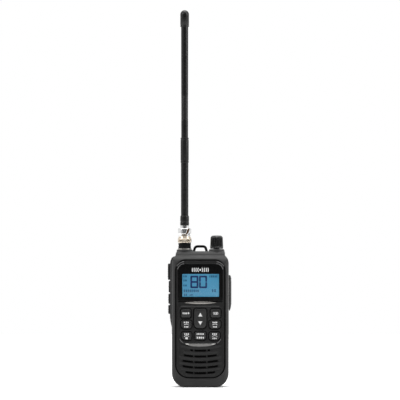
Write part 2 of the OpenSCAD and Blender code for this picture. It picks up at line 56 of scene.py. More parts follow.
class Nodes:
    """A short way to build one procedural material."""

    def __init__(self, name):
        self.mat = bpy.data.materials.new(name)
        self.mat.use_nodes = True
        self.tree = self.mat.node_tree
        self.shader = self.tree.nodes["Principled BSDF"]
        self.coord = self.tree.nodes.new("ShaderNodeTexCoord").outputs["Object"]

    def node(self, kind, **values):
        """A new node. A value goes to the input of that name, or else to the node's own setting."""
        n = self.tree.nodes.new(kind)
        for key, value in values.items():
            if key in n.inputs:
                n.inputs[key].default_value = value
            else:
                setattr(n, key, value)
        return n

    def link(self, a, b):
        self.tree.links.new(a, b)

    def feed(self, value, socket):
        """Links another node's output to the socket, or sets a plain value on it."""
        if hasattr(value, "links"):
            self.link(value, socket)
        else:
            socket.default_value = value

    def noise(self, scale, detail=3.0, rough=0.5, stretch=None):
        n = self.node("ShaderNodeTexNoise", Scale=scale, Detail=detail, Roughness=rough)
        source = self.coord
        if stretch:
            mapping = self.node("ShaderNodeMapping", Scale=stretch)
            self.link(source, mapping.inputs["Vector"])
            source = mapping.outputs["Vector"]
        self.link(source, n.inputs["Vector"])
        return n.outputs["Fac"]

    def ramp(self, fac, low, high, a, b):
        """Goes from colour a at low to colour b at high."""
        r = self.node("ShaderNodeValToRGB")
        r.color_ramp.elements[0].position = low
        r.color_ramp.elements[1].position = high
        r.color_ramp.elements[0].color = (*a, 1)
        r.color_ramp.elements[1].color = (*b, 1)
        self.link(fac, r.inputs["Fac"])
        return r.outputs["Color"]

    def span(self, fac, **limits):
        """Maps a value; the limits are named as on the node, with _ for a space."""
        m = self.node("ShaderNodeMapRange", **{key.replace("_", " "): v for key, v in limits.items()})
        self.link(fac, m.inputs["Value"])
        return m.outputs["Result"]

    def math(self, op, a, b=0.5):
        m = self.node("ShaderNodeMath", operation=op)
        self.feed(a, m.inputs[0])
        self.feed(b, m.inputs[1])
        return m.outputs["Value"]

    def mix(self, amount, a, b, blend="MIX"):
        """Mixes two colours: inputs 6 and 7 of a Mix node set to RGBA, with the result on output 2."""
        m = self.node("ShaderNodeMix", data_type="RGBA", blend_type=blend)
        for value, socket in ((amount, m.inputs[0]), (a, m.inputs[6]), (b, m.inputs[7])):
            self.feed(value, socket)
        return m.outputs[2]

    def colour(self, source):
        self.link(source, self.shader.inputs["Base Color"])

    def gloss(self, fac, low, high):
        """Roughness that drifts between low and high."""
        self.link(self.span(fac, To_Min=low, To_Max=high), self.shader.inputs["Roughness"])

    def fix(self, socket, value):
        """Sets one of the shader's own sockets to a plain value."""
        self.shader.inputs[socket].default_value = value

    def bump(self, height, distance):
        b = self.node("ShaderNodeBump", Strength=1.0, Distance=distance)
        self.link(height, b.inputs["Height"])
        self.link(b.outputs["Normal"], self.shader.inputs["Normal"])


def grey(v):
    return v, v, v


def moulded(name, dark, light, rough, grain, depth, spec=0.5, worn=0.0):
    """Moulded plastic or rubber: mottled colour, uneven gloss, fine grain and paler worn edges."""
    n = Nodes(name)
    colour = n.ramp(n.noise(60, 4), 0.35, 0.7, dark, light)
    if worn:
        edge = n.node("ShaderNodeNewGeometry").outputs["Pointiness"]
        scuff = n.math("MULTIPLY", n.ramp(edge, 0.52, 0.62, grey(0), grey(1)), n.noise(400, 5))
        pale = (*(min(1, c * 3 + 0.02) for c in light), 1)
        colour = n.mix(n.math("MULTIPLY", scuff, worn), colour, pale)
    n.colour(colour)
    n.gloss(n.noise(180, 4), rough - 0.06, rough + 0.07)
    n.fix("Specular IOR Level", spec)
    n.bump(n.noise(grain, 2, 0.6), depth)
    return n.mat


BRUSHED = (1, 1, 12)


def scratched(n, rough, stretch):
    """Gives a metal its micro scratches: even where polished, drawn out where brushed."""
    n.fix("Metallic", 1.0)
    n.gloss(n.noise(900, 4, 0.6, stretch), rough - 0.07, rough + 0.1)
    n.bump(n.noise(1500, 3, 0.6, stretch), 0.000004)
    return n.mat


def plated(name, dark, light, rough, stretch=None):
    """Plated metal with a slight colour drift."""
    n = Nodes(name)
    n.colour(n.ramp(n.noise(250, 3), 0.3, 0.75, dark, light))
    return scratched(n, rough, stretch)


def pale_ended_strip(name, middle, ends, start, stop, rough):
    """Brushed strip that is dull in the middle and paler towards both ends along X."""
    n = Nodes(name)
    split = n.node("ShaderNodeSeparateXYZ")
    n.link(n.coord, split.inputs["Vector"])
    along = n.span(n.math("ABSOLUTE", split.outputs["X"]), From_Min=start, From_Max=stop)
    mottled = n.math("ADD", along, n.math("MULTIPLY", n.noise(400, 3), 0.12))
    n.colour(n.ramp(mottled, 0.05, 1.0, middle, ends))
    return scratched(n, rough, BRUSHED)


LCD_DOT, LCD_LINE = mm(0.5, 0.03)


def lcd_glow():
    """Blue backlit display: brighter over the lamps, with a fine pixel grid."""
    n = Nodes("lcd_glow")
    broad = n.noise(28, 1)
    lit = n.ramp(broad, 0.3, 0.75, (0.046, 0.255, 0.425), (0.076, 0.31, 0.485))
    grid = n.node("ShaderNodeTexBrick", offset=0.0, squash=1.0, Scale=1.0)
    for side in ("Brick Width", "Row Height"):
        grid.inputs[side].default_value = LCD_DOT
    grid.inputs["Mortar Size"].default_value = LCD_LINE
    turn = n.node("ShaderNodeMapping", Rotation=(pi / 2, 0, 0))
    n.link(n.coord, turn.inputs["Vector"])
    n.link(turn.outputs["Vector"], grid.inputs["Vector"])
    n.link(n.mix(0.12, lit, grid.outputs["Color"], "MULTIPLY"), n.shader.inputs["Emission Color"])
    n.fix("Emission Strength", 0.85)
    n.colour(n.ramp(broad, 0.3, 0.75, (0.012, 0.04, 0.07), (0.02, 0.06, 0.1)))
    n.gloss(n.noise(300, 2), 0.25, 0.35)
    return n.mat


def clear_window():
    """A clear pane that bends the light very little."""
    n = Nodes("clear_window")
    n.colour(n.ramp(n.noise(90, 2), 0.3, 0.8, (0.93, 0.95, 0.97), (0.98, 0.99, 1.0)))
    n.fix("Transmission Weight", 1.0)
    n.fix("IOR", 1.15)
    n.gloss(n.noise(500, 3), 0.01, 0.04)
    return n.mat


def printed(name, colour, rough=0.45):
    """Printed ink: nearly even colour with the faint mottling of a screen print."""
    n = Nodes(name)
    n.colour(n.ramp(n.noise(700, 4), 0.3, 0.7, tuple(c * 0.86 for c in colour), colour))
    n.gloss(n.noise(900, 3), rough - 0.05, rough + 0.08)
    n.bump(n.noise(2500, 2), 0.000005)
    return n.mat


def circuit_board():
    """Green solder mask, slightly uneven over the copper."""
    n = Nodes("circuit_board")
    n.colour(n.ramp(n.noise(350, 4), 0.4, 0.6, (0.01, 0.07, 0.03), (0.02, 0.13, 0.06)))
    n.gloss(n.noise(600, 2), 0.25, 0.45)
    n.bump(n.noise(800, 2), 0.00003)
    return n.mat


def woven_mesh():
    """Black speaker cloth: a fine crossed weave."""
    n = Nodes("woven_mesh")
    waves = []
    for axis in ("X", "Z"):
        wave = n.node("ShaderNodeTexWave", bands_direction=axis, Scale=350)
        n.link(n.coord, wave.inputs["Vector"])
        waves.append(wave.outputs["Fac"])
    weave = n.math("MULTIPLY", *waves)
    n.colour(n.ramp(weave, 0.1, 0.8, grey(0.0006), grey(0.003)))
    n.fix("Specular IOR Level", 0.08)
    n.gloss(n.noise(400, 2), 0.7, 0.85)
    n.bump(weave, 0.0001)
    return n.mat


# moulded: dark and light colour, roughness, grain per metre, grain depth, specular level, wear.
# plated and printed: colours, roughness.
MATS = {
    "shell": moulded("shell_plastic", grey(0.013), grey(0.0175), 0.5, 1800, 0.00006, 0.3, worn=0.3),
    "panel": moulded("panel_plastic", grey(0.005), grey(0.0075), 0.42, 2400, 0.00003, 0.22, worn=0.2),
    # Paler and glossier than the panel: this colour paints highlights on the raised lines round the lens and
    # keys.
    "painted_highlight": moulded("painted_highlight_plastic", grey(0.06), grey(0.08), 0.3, 2400, 0.00001, 0.6),
    "key": moulded("key_rubber", grey(0.009), grey(0.013), 0.36, 2600, 0.00002, 0.36, worn=0.2),
    "rubber": moulded("side_rubber", grey(0.004), grey(0.007), 0.58, 2000, 0.00004, 0.2),
    "cover": moulded("cover_rubber", grey(0.026), grey(0.034), 0.5, 2200, 0.00004, 0.4),
    "black": moulded("gloss_black", grey(0.0018), grey(0.0026), 0.14, 900, 0.000004, 0.2),
    "knob": moulded("knob_plastic", grey(0.0012), grey(0.002), 0.2, 2600, 0.00001, 0.55),
    "loop": moulded("loop_plastic", grey(0.002), grey(0.003), 0.6, 2000, 0.00003, 0.1),
    "antenna": moulded("antenna_sleeve", grey(0.004), grey(0.007), 0.3, 1200, 0.00002, 0.3),
    "inner": moulded("inner_plastic", grey(0.012), grey(0.02), 0.5, 1500, 0.00003),
    "trim": plated("trim_metal", (0.26, 0.25, 0.235), (0.34, 0.325, 0.305), 0.26, BRUSHED),
    "smile": pale_ended_strip("crescent_plate", (0.13, 0.128, 0.125), (0.75, 0.74, 0.72), 0.0115, 0.0165, 0.28),
    # Dark brown: painted shade inside the nut's lug slots and windows.
    "bronze": plated("dark_lug_slot_shade", (0.05, 0.03, 0.018), (0.1, 0.06, 0.035), 0.4),
    "nickel": plated("nickel_plate", (0.5, 0.42, 0.33), (0.74, 0.66, 0.55), 0.2),
    "bright": plated("bright_plate", (0.66, 0.66, 0.66), (0.8, 0.8, 0.8), 0.16),
    "steel": plated("zinc_steel", (0.2, 0.2, 0.205), (0.34, 0.34, 0.34), 0.3),
    # Darker than the screw's steel: painted shade on the floor of the cross recess.
    "recess": plated("screw_recess_shade", (0.02, 0.02, 0.02), (0.05, 0.05, 0.05), 0.5),
    "gold": plated("gold_contact", (0.7, 0.45, 0.15), (0.86, 0.6, 0.24), 0.22),
    "tin": plated("tinned_sheet", (0.45, 0.46, 0.47), (0.6, 0.6, 0.6), 0.35),
    "lcd": lcd_glow(),
    "window": clear_window(),
    "white": printed("white_ink", (0.6, 0.6, 0.6)),
    "navy": printed("display_ink", (0.001, 0.02, 0.12), 0.3),
    "faint": printed("faint_ink", (0.004, 0.07, 0.17), 0.3),
    "milky": printed("light_guide", (0.7, 0.72, 0.75), 0.35),
    "fibre": printed("glass_fibre", (0.5, 0.42, 0.25), 0.5),
    "cell": printed("cell_sleeve", (0.03, 0.12, 0.38), 0.3),
    "board": circuit_board(),
    "cloth": woven_mesh(),
}


# ---------------------------------------------------------------- mesh tools

def finish_mesh(name, bm, mats, sharp=40):
    """Turns a bmesh into a shown piece with smooth faces and sharp corners."""
    bmesh.ops.remove_doubles(bm, verts=bm.verts, dist=1e-7)
    bmesh.ops.recalc_face_normals(bm, faces=bm.faces)
    mesh = bpy.data.meshes.new(name)
    bm.to_mesh(mesh)
    bm.free()
    mesh.shade_smooth()
    mesh.set_sharp_from_angle(angle=radians(sharp))
    for m in mats:
        mesh.materials.append(MATS[m])
    obj = bpy.data.objects.new(name, mesh)
    COL.objects.link(obj)
    return obj


def arc(cx, cy, r, a0, a1, n=8):
    """Points of an arc, angles in degrees."""
    steps = [radians(a0 + (a1 - a0) * i / n) for i in range(n + 1)]
    return [(cx + r * cos(a), cy + r * sin(a)) for a in steps]


def soft_box(x0, x1, z0, z1, radii, n=8):
    """Rounded box; radii from the lower left corner anticlockwise."""
    a, b, c, d = radii if isinstance(radii, (tuple, list)) else [radii] * 4
    return (arc(x0 + a, z0 + a, a, 180, 270, n) + arc(x1 - b, z0 + b, b, 270, 360, n)
            + arc(x1 - c, z1 - c, c, 0, 90, n) + arc(x0 + d, z1 - d, d, 90, 180, n))


def area(loop):
    """Signed area of a loop, above zero when it runs anticlockwise."""
    return sum(a[0] * b[1] - b[0] * a[1] for a, b in zip(loop, loop[1:] + loop[:1])) / 2


def clean(loop, tiny=1e-6):
    """Drops points that lie on the one before them."""
    out = []
    for p in loop:
        if not out or dist(p, out[-1]) > tiny:
            out.append(p)
    if dist(out[0], out[-1]) < tiny:
        out.pop()
    return out


def inset(loop, d):
    """Moves a closed loop to its left by d, which is inwards on an anticlockwise loop."""
    out = []
    n = len(loop)
    for i in range(n):
        p, q, r = Vector(loop[i - 1]), Vector(loop[i]), Vector(loop[(i + 1) % n])
        a = (q - p).normalized()
        b = (r - q).normalized()
        na, nb = Vector((-a.y, a.x)), Vector((-b.y, b.x))
        m = na + nb
        m = m / max(m.length_squared / 2, 0.35)
        out.append(tuple(q + m * d))
    return out


def facing_front(u, v, w):
    return Vector((u, w, v))


def facing_side(u, v, w):
    return Vector((w, u, v))


def add_plate(bm, loops, front, back, edge, place=facing_front, mat=0, rings=4, flat=0.0):
    """Adds a plate with rounded front edges. The first loop is the outline and the others are holes.
    place(u, v, w) maps the flat shape and its depth to space; front and back are depths.
    flat keeps the shading of the face level up to that far from its rounded edge."""
    sign = 1 if back > front else -1
    stations = [(edge * (1 - sin(t)), front + sign * edge * (1 - cos(t)))
                for t in (pi / 2 * k / rings for k in range(rings + 1))]
    if flat:
        stations.insert(0, (edge + flat, front))
    stations.append((0.0, back))
    faces = []
    first, last = [], []
    for i, loop in enumerate(loops):
        loop = clean(loop)
        if (area(loop) > 0) != (i == 0):
            loop = loop[::-1]
        rows = [[bm.verts.new(place(u, v, w)) for u, v in inset(loop, d)] for d, w in stations]
        faces += join_rows(bm, rows)
        n = len(loop)
        first += [bm.edges.get((rows[0][k], rows[0][(k + 1) % n])) for k in range(n)]
        last += [bm.edges.get((rows[-1][k], rows[-1][(k + 1) % n])) for k in range(n)]
    for cap in (first, last):
        made = bmesh.ops.triangle_fill(bm, edges=cap, use_beauty=True, use_dissolve=False)
        faces += [f for f in made["geom"] if isinstance(f, bmesh.types.BMFace)]
    for f in faces:
        f.material_index = mat


def join_rows(bm, rows, mat=0, capped=False):
    """Joins closed rows of as many points each with faces; capped closes both ends."""
    n = len(rows[0])
    faces = [bm.faces.new((r0[k], r0[(k + 1) % n], r1[(k + 1) % n], r1[k]))
             for r0, r1 in zip(rows, rows[1:]) for k in range(n)]
    if capped:
        faces += [bm.faces.new(rows[0]), bm.faces.new(rows[-1][::-1])]
    for f in faces:
        f.material_index = mat
    return faces


def plate(name, loops, front, back, edge, mats, **more):
    bm = bmesh.new()
    add_plate(bm, loops, front, back, edge, **more)
    return finish_mesh(name, bm, mats)


def lathe(name, points, x, y, mats, steps=64, shape=None, bands=None):
    """Turns a closed or open profile of (radius, height) points about the upright axis at x, y.
    shape(radius, height, angle) may change the radius; bands(span, angle) gives a face's material."""
    bm = bmesh.new()
    rows = []
    for r, z in points:
        if r < 1e-7:
            rows.append([bm.verts.new((x, y, z))])
            continue
        row = []
        for k in range(steps):
            a = 2 * pi * k / steps
            rr = shape(r, z, a) if shape else r
            row.append(bm.verts.new((x + rr * cos(a), y + rr * sin(a), z)))
        rows.append(row)
    for i, (r0, r1) in enumerate(zip(rows, rows[1:])):
        for k in range(steps):
            j = (k + 1) % steps
            if len(r0) == 1 and len(r1) == 1:
                continue
            if len(r0) == 1:
                f = bm.faces.new((r0[0], r1[j], r1[k]))
            elif len(r1) == 1:
                f = bm.faces.new((r0[k], r0[j], r1[0]))
            else:
                f = bm.faces.new((r0[k], r0[j], r1[j], r1[k]))
            f.material_index = bands(i, 2 * pi * (k + 0.5) / steps) if bands else 0
    return finish_mesh(name, bm, mats)


def soften(name, node, mats, voxel, passes, keep):
    """A new piece with softly rounded edges, remeshed from a CAD node's own solid."""
    obj = bpy.data.objects.new(name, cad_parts[node].data.copy())
    COL.objects.link(obj)
    obj.data.materials.clear()
    for m in mats:
        obj.data.materials.append(MATS[m])
    remesh = obj.modifiers.new("remesh", "REMESH")
    remesh.mode = "VOXEL"
    remesh.voxel_size = voxel
    smooth = obj.modifiers.new("smooth", "SMOOTH")
    smooth.iterations = passes
    thin = obj.modifiers.new("thin", "DECIMATE")
    thin.ratio = keep
    apply_modifiers(obj)
    obj.data.shade_smooth()
    return obj


BEVEL_ANGLE = 32


def bevelled(name, node, mats, width):
    """A new piece with rolled edges, made from a CAD node's own solid."""
    bm = bmesh.new()
    bm.from_mesh(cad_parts[node].data)
    bmesh.ops.remove_doubles(bm, verts=bm.verts, dist=2e-6)
    bmesh.ops.dissolve_limit(bm, angle_limit=radians(1.0), verts=bm.verts, edges=bm.edges)
    obj = finish_mesh(name, bm, mats, sharp=BEVEL_ANGLE)
    roll = obj.modifiers.new("roll", "BEVEL")
    roll.width = width
    roll.segments = 3
    roll.limit_method = "ANGLE"
    roll.angle_limit = radians(BEVEL_ANGLE)
    roll.harden_normals = True
    apply_modifiers(obj)
    return obj


def apply_modifiers(obj):
    graph = bpy.context.evaluated_depsgraph_get()
    mesh = bpy.data.meshes.new_from_object(obj.evaluated_get(graph))
    obj.modifiers.clear()
    obj.data = mesh


def put(obj, body, slot, *nodes):
    """Makes the piece ride on its body and has it stand for the CAD nodes; slot, the name of its finish, is
    not used.
    """
    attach(obj, body)
    if nodes:
        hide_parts(*nodes)


def box(node):
    lo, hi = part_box(node)
    return Vector(lo), Vector(hi)


def rounded_profile(points, r, n=4):
    """Rounds every corner of an open (radius, height) profile by r."""
    out = [points[0]]
    for p, q, s in zip(points, points[1:], points[2:]):
        a, b, c = Vector(p), Vector(q), Vector(s)
        cut = min(r, (a - b).length * 0.45, (c - b).length * 0.45)
        u, v = b + (a - b).normalized() * cut, b + (c - b).normalized() * cut
        for k in range(n + 1):
            t = k / n
            out.append(tuple(u * (1 - t) ** 2 + b * 2 * t * (1 - t) + v * t ** 2))
    out.append(points[-1])
    return out


# ---------------------------------------------------------------- case and front panel

# The key sizes and the rocker's axis are those of the CAD.
FLANGE = 0.9 * MM
SIDE_FLANGE = 0.55 * MM
KEY_GAP = 0.7 * MM
PIVOT = 0.8 * MM
ROCKER_Y, ROCKER_Z = mm(-15.2, 72.6)
# Corner radii of each key's face in mm, from the lower left corner anticlockwise.
KEY_RADII = {
    "key_left_1": (2, 2, 2, 2), "key_right_1": (2, 2, 2, 2),
    "key_left_2": (4, 3, 2, 2), "key_right_2": (3, 4, 2, 2),
    "key_left_3": (4.1, 3, 2, 2), "key_right_3": (3, 4.1, 2, 2),
    "key_mid_3": (3, 3, 2, 2), "rocker_key": (4.6, 4.6, 2.2, 2.2),
}
# Each grille row in mm: its height in the middle, the reach of its slots and of the ridge under it.
GRILLE_ROWS = [(38.6, 10.5, 19.5), (32.4, 17.2, 23.6), (26.4, 18.4, 23.6), (20.7, 18.4, 22.6),
               (14.9, 15.4, 17.0)]
TOP_RIDGE = (43.0, 22.6)
# A row rises from its middle by SMILE times the square of the way out, in metres.
SMILE = 5.0
SLOT_H = 2.4
RIB_X, RIB_W = 6.9, 1.5
# The cloth slot of this piece paints shade: in the key wells, in the groove round the panel and behind the
# grille slots.
PANEL_MATS = ["panel", "painted_highlight", "cloth", "cover", "black"]
PAINTED_HIGHLIGHT, PAINTED_SHADE, COVER, BLACK = 1, 2, 3, 4


def cap_outline(node, grow=0.0):
    """Outline of a key's face, from its CAD box less the hidden flange and the rocker's pivots."""
    lo, hi = box(node)
    g = grow - FLANGE
    side = g - (PIVOT if node == "rocker_key" else 0)
    radii = [r * MM + grow for r in KEY_RADII[node]]
    return soft_box(lo.x - side, hi.x + side, lo.z - g, hi.z + g, radii)


def slot_outline(x0, x1, z):
    """A grille slot that follows the curve of its row."""
    h = SLOT_H * MM / 2
    n = 10
    xs = [x0 + (x1 - x0) * i / n for i in range(n + 1)]
    low = [(x, z - h + SMILE * x * x) for x in xs]
    high = [(x, z + h + SMILE * x * x) for x in reversed(xs)]
    return low + high


def grille_slots():
    slots = []
    for z, reach, _ in GRILLE_ROWS:
        z, reach = z * MM, reach * MM
        inner, outer = (RIB_X - RIB_W / 2) * MM, (RIB_X + RIB_W / 2) * MM
        slots += [slot_outline(x0, x1, z) for x0, x1 in ((-reach, -outer), (-inner, inner), (outer, reach))]
    return slots


def add_louvre(bm, z, reach, front):
    """A curved ridge under a row of slots: steep above, falling away below, fading at its ends."""
    section = [(0.3, 0.5), (0.15, -0.6), (-0.1, -0.86), (-0.55, -0.9), (-1.5, -0.5), (-2.9, 0.0), (-2.9, 0.5)]
    n = 48
    rows = []
    for i in range(n + 1):
        x = -reach + 2 * reach * i / n
        fade = min(1.0, (reach - abs(x)) / (4 * MM))
        fade = fade * fade * (3 - 2 * fade)
        sink = 0.12 * (1 - fade)
        rows.append([bm.verts.new((x, front + (dy * fade + sink if dy <= 0 else dy) * MM,
                                   z + SMILE * x * x + dz * MM)) for dz, dy in section])
    join_rows(bm, rows, capped=True)


def build_shells():
    for node, name in (("front_shell", "front_case"), ("rear_shell", "rear_case")):
        put(soften(name, node, ["shell"], 0.42 * MM, 3, 0.22), "radio", "shell_plastic", node)


def add_bead(bm, line, half, rise, front, mat=PAINTED_HIGHLIGHT):
    """A raised line along points on the front: round in section, fading out at both ends. By default it is in
    the paler material that paints a highlight along it.
    """
    rows = []
    last = len(line) - 1
    crown = [(cos(a), -sin(a)) for a in (pi * k / 8 for k in range(9))]
    section = [(1, 0.3)] + crown + [(-1, 0.3)]
    for i, (x, z) in enumerate(line):
        t = (Vector(line[min(i + 1, last)]) - Vector(line[max(i - 1, 0)])).normalized()
        height = rise * (0.1 if i in (0, last) else 1.0)
        rows.append([bm.verts.new((x + t.y * u * half, front + w * (height if w < 0 else MM),
                                   z - t.x * u * half)) for u, w in section])
    join_rows(bm, rows, mat, capped=True)


CORNER_TURN = 7 * MM
# The two lines round each upper corner of the lens: offset, half width, start angle.
CORNER_LINES = ((*mm(0.5, 0.42), 12), (*mm(2.5, 0.4), 30))
FIELD_DEPTH, FIELD_TOP = mm(0.45, 85.6)


def add_panel_beads(bm, front):
    """Raised lines round the upper corners of the lens, and above and below the keys, in paler materials that
    paint highlights along them.
    """
    hi = box("display_lens")[1]
    field = front - FIELD_DEPTH
    for side in (-1, 1):
        for off, half, start in CORNER_LINES:
            corner = arc(hi.x - CORNER_TURN, hi.z - CORNER_TURN, CORNER_TURN + off, start, 86, 14)
            add_bead(bm, [(side * x, z) for x, z in corner[::side]], half, 0.6 * MM, front)
        foot = arc(12.6 * MM, 55.2 * MM, 9.9 * MM, -24, -60, 12)
        add_bead(bm, [(side * x, z) for x, z in foot[::side]], 0.35 * MM, 0.35 * MM, field)
    # The line above the keys is in the paler cover material: a painted highlight along the field's upper edge.
    top = [(x * MM, FIELD_TOP) for x in range(-21, 22, 3)]
    add_bead(bm, top, 0.35 * MM, 0.25 * MM, field, COVER)


def around(node, grow, radii, n=8):
    """A rounded box round the front of a CAD node, wider than it by grow on each side."""
    lo, hi = box(node)
    return soft_box(lo.x - grow, hi.x + grow, lo.z - grow, hi.z + grow, radii, n)


def add_key_field(bm, front):
    """The raised field that the keys stand in, and a black ring round each key's well that paints the shade in
    the gap.
    """
    for k in KEY_RADII:
        ring = [cap_outline(k, KEY_GAP + 0.65 * MM), cap_outline(k, KEY_GAP + 0.02 * MM)]
        add_plate(bm, ring, front - 0.06 * MM, front + 0.5 * MM, 0.02 * MM, mat=PAINTED_SHADE)
    apron = soft_box(*mm(-23.6, 23.8, 46.4, 86.2), mm(9, 9, 1.5, 1.5), 12)
    holes = [cap_outline(k, KEY_GAP + 0.5 * MM) for k in KEY_RADII]
    add_plate(bm, [apron] + holes, front - 0.5 * MM, front + 0.1 * MM, 0.15 * MM)


def add_window_edges(bm, front, back):
    """The ledge behind the lens, and the black border below it."""
    lens_lo, lens_hi = box("display_lens")
    ledge = [around("display_lens", 0.15 * MM, 1.6 * MM), around("lcd_panel", -MM, MM)]
    add_plate(bm, ledge, lens_hi.y, back, 0.1 * MM)
    border = soft_box(lens_lo.x, lens_hi.x, lens_lo.z - 2.2 * MM, lens_lo.z - 0.12 * MM,
                      mm(1.8, 1.8, 0.1, 0.1))
    add_plate(bm, [border], front - 0.08 * MM, front + 0.1 * MM, 0.06 * MM, mat=BLACK)


def build_panel():
    lo, hi = box("front_panel")
    front, back = lo.y, hi.y
    outline = clean(around("front_panel", 0.0, mm(13, 13, 10, 10), 12))
    lens_hole = around("display_lens", 0.1 * MM, mm(1.6, 1.6, 7.1, 7.1))
    key_holes = [cap_outline(k, KEY_GAP) for k in KEY_RADII]
    bm = bmesh.new()
    face = inset(outline, 0.3 * MM)
    add_plate(bm, [face, lens_hole] + key_holes + grille_slots(), front, back, 0.35 * MM)
    # A black ring laid in the groove round the panel: painted shade in the groove.
    groove_shade = [inset(outline, -1.05 * MM), inset(outline, 0.5 * MM)]
    add_plate(bm, groove_shade, front + 0.9 * MM, back + 0.6 * MM, 0.05 * MM, mat=PAINTED_SHADE)
    add_key_field(bm, front)
    add_window_edges(bm, front, back)
    for z, reach in [(z - SLOT_H / 2, reach) for z, _, reach in GRILLE_ROWS] + [TOP_RIDGE]:
        add_louvre(bm, z * MM, reach * MM, front)
    add_panel_beads(bm, front)
    # A black sheet behind the grille: painted shade inside the slots.
    slot_shade_sheet = soft_box(*mm(-20.5, 20.5, 12.4, 41.5), 3 * MM)
    add_plate(bm, [slot_shade_sheet], back - 0.3 * MM, back - 0.1 * MM, 0.05 * MM, mat=PAINTED_SHADE)
    put(finish_mesh("grille_panel", bm, PANEL_MATS), "radio", "panel_plastic", "front_panel")


VIEW_X, VIEW_Z = mm(-18.9, 19.7), mm(95.5, 119.5)
MARK_Z = 123.9 * MM
MARK_DEPTH = 0.06 * MM


def wave_mark(bm, cx, cz, y):
    """A plain dot with four arcs on each side."""
    shapes = [arc(cx, cz, MM, 0, 345, 23)]
    half, tall = mm(0.42, 2.1)
    for side in (0, 180):
        for r in mm(2.7, 4.6, 6.5, 8.4):
            reach = degrees(asin(tall / r))
            shapes.append(arc(cx, cz, r + half, side - reach, side + reach, 12)
                          + arc(cx, cz, r - half, side + reach, side - reach, 12))
    for shape in shapes:
        add_plate(bm, [shape], y, y + MARK_DEPTH, 0.02 * MM)


def build_display():
    lo, hi = box("display_lens")
    outline = around("display_lens", 0.0, mm(1.5, 1.5, 7, 7), 12)
    window = soft_box(*VIEW_X, *VIEW_Z, 0.5 * MM)
    surround = plate("lens_frame", [outline, window], lo.y, hi.y, 0.12 * MM, ["black"], flat=0.2 * MM)
    put(surround, "radio", "lens", "display_lens")
    gap = 0.03 * MM
    pane = soft_box(VIEW_X[0] + gap, VIEW_X[1] - gap, VIEW_Z[0] + gap, VIEW_Z[1] - gap, 0.47 * MM)
    put(plate("lens_pane", [pane], lo.y + 0.06 * MM, hi.y - 0.2 * MM, 0.05 * MM, ["window"]), "radio", "lens")
    bm = bmesh.new()
    wave_mark(bm, 0, MARK_Z, lo.y - MARK_DEPTH / 2)
    put(finish_mesh("lens_mark", bm, ["white"]), "radio", "lens")
    lcd_lo, lcd_hi = box("lcd_panel")
    glass = around("lcd_panel", 0.0, 0.5 * MM)
    put(plate("display_glass", [glass], lcd_lo.y, lcd_hi.y, 0.1 * MM, ["lcd"]), "radio", "lcd", "lcd_panel")
    put(build_segments(lcd_lo.y), "radio", "lcd")


# The second material of a printed piece: the faint ink of the display, the white ink of a key.
INK = 1


def add_ink(bm, loops, y, mat=0):
    """A thin printed shape that stands just proud of the face at depth y."""
    add_plate(bm, loops, y - 0.05 * MM, y + 0.02 * MM, 0.01 * MM, mat=mat)


SEGMENTS = {"8": "abcdefg", "0": "abcdef"}
DIGIT_W, DIGIT_H, STROKE = mm(8.5, 13.2, 1.9)
DIGIT_X, DIGIT_Z, DIGIT_PITCH = -10.5, 104.4, 9.2


def add_digit(bm, char, x, z, y):
    """One seven-segment digit with its lower left corner at x, z."""
    w, h, t = DIGIT_W, DIGIT_H, STROKE
    m = h / 2
    g = 0.12 * MM
    spans = {
        "a": (x + g, x + w - g, z + h - t, z + h), "d": (x + g, x + w - g, z, z + t),
        "g": (x + g, x + w - g, z + m - t / 2, z + m + t / 2),
        "f": (x, x + t, z + m + g, z + h - t / 2), "b": (x + w - t, x + w, z + m + g, z + h - t / 2),
        "e": (x, x + t, z + t / 2, z + m - g), "c": (x + w - t, x + w, z + t / 2, z + m - g),
    }
    for s in SEGMENTS[char]:
        add_ink(bm, [soft_box(*spans[s], t * 0.45, 4)], y)


def add_bar(bm, x0, x1, z0, z1, y, r, mat=0):
    """A printed bar, in mm apart from its depth y."""
    add_ink(bm, [soft_box(*mm(x0, x1, z0, z1), r * MM, 3)], y, mat)


def add_blocks(bm, cx, cz, width, height, count, y):
    """A row of small plain blocks, of two widths in turn, that stands for a printed word."""
    pitch = width / count
    for i in range(count):
        x = cx - width / 2 + (i + 0.2) * pitch
        w = pitch * (0.66 if i % 2 else 0.58)
        add_bar(bm, x, x + w, cz - height / 2, cz + height / 2, y, 0.25, INK)


# Rows of blocks on the display: centre, width, height and count.
WORDS = [(-15.9, 116.9, 4.4, 2.1, 3), (-15.9, 112.5, 4.4, 2.1, 3), (-15.9, 107.3, 4.4, 2.1, 3),
         (13.8, 116.8, 9.0, 2.3, 5), (-9.6, 101.7, 16.4, 2.8, 8), (14.3, 101.9, 4.8, 3.0, 2),
         (-15.6, 97.7, 3.4, 2.3, 2)]
METER_X, METER_Z, METER_PITCH = -11.5, 96.8, 0.9


def build_segments(y):
    """The digits in dark ink, with the words and the level meter beside them."""
    bm = bmesh.new()
    for i, char in enumerate("80"):
        add_digit(bm, char, (DIGIT_X + i * DIGIT_PITCH) * MM, DIGIT_Z * MM, y)
    for word in WORDS:
        add_blocks(bm, *word, y)
    for i in range(4):
        x = METER_X + i * METER_PITCH
        add_bar(bm, x, x + 0.7, METER_Z, METER_Z + 0.8 + i * 0.2, y, 0.1)
    return finish_mesh("display_segments", bm, ["navy", "faint"])


def bow(half, rise, z, up, n):
    """An arc from one side to the other, 2 * half wide, with its far point at height z."""
    r = (half * half + rise * rise) / (2 * rise)
    a = degrees(asin(half / r))
    mid = 90 if up else 270
    return arc(0, z - r if up else z + r, r, mid - a, mid + a, n)


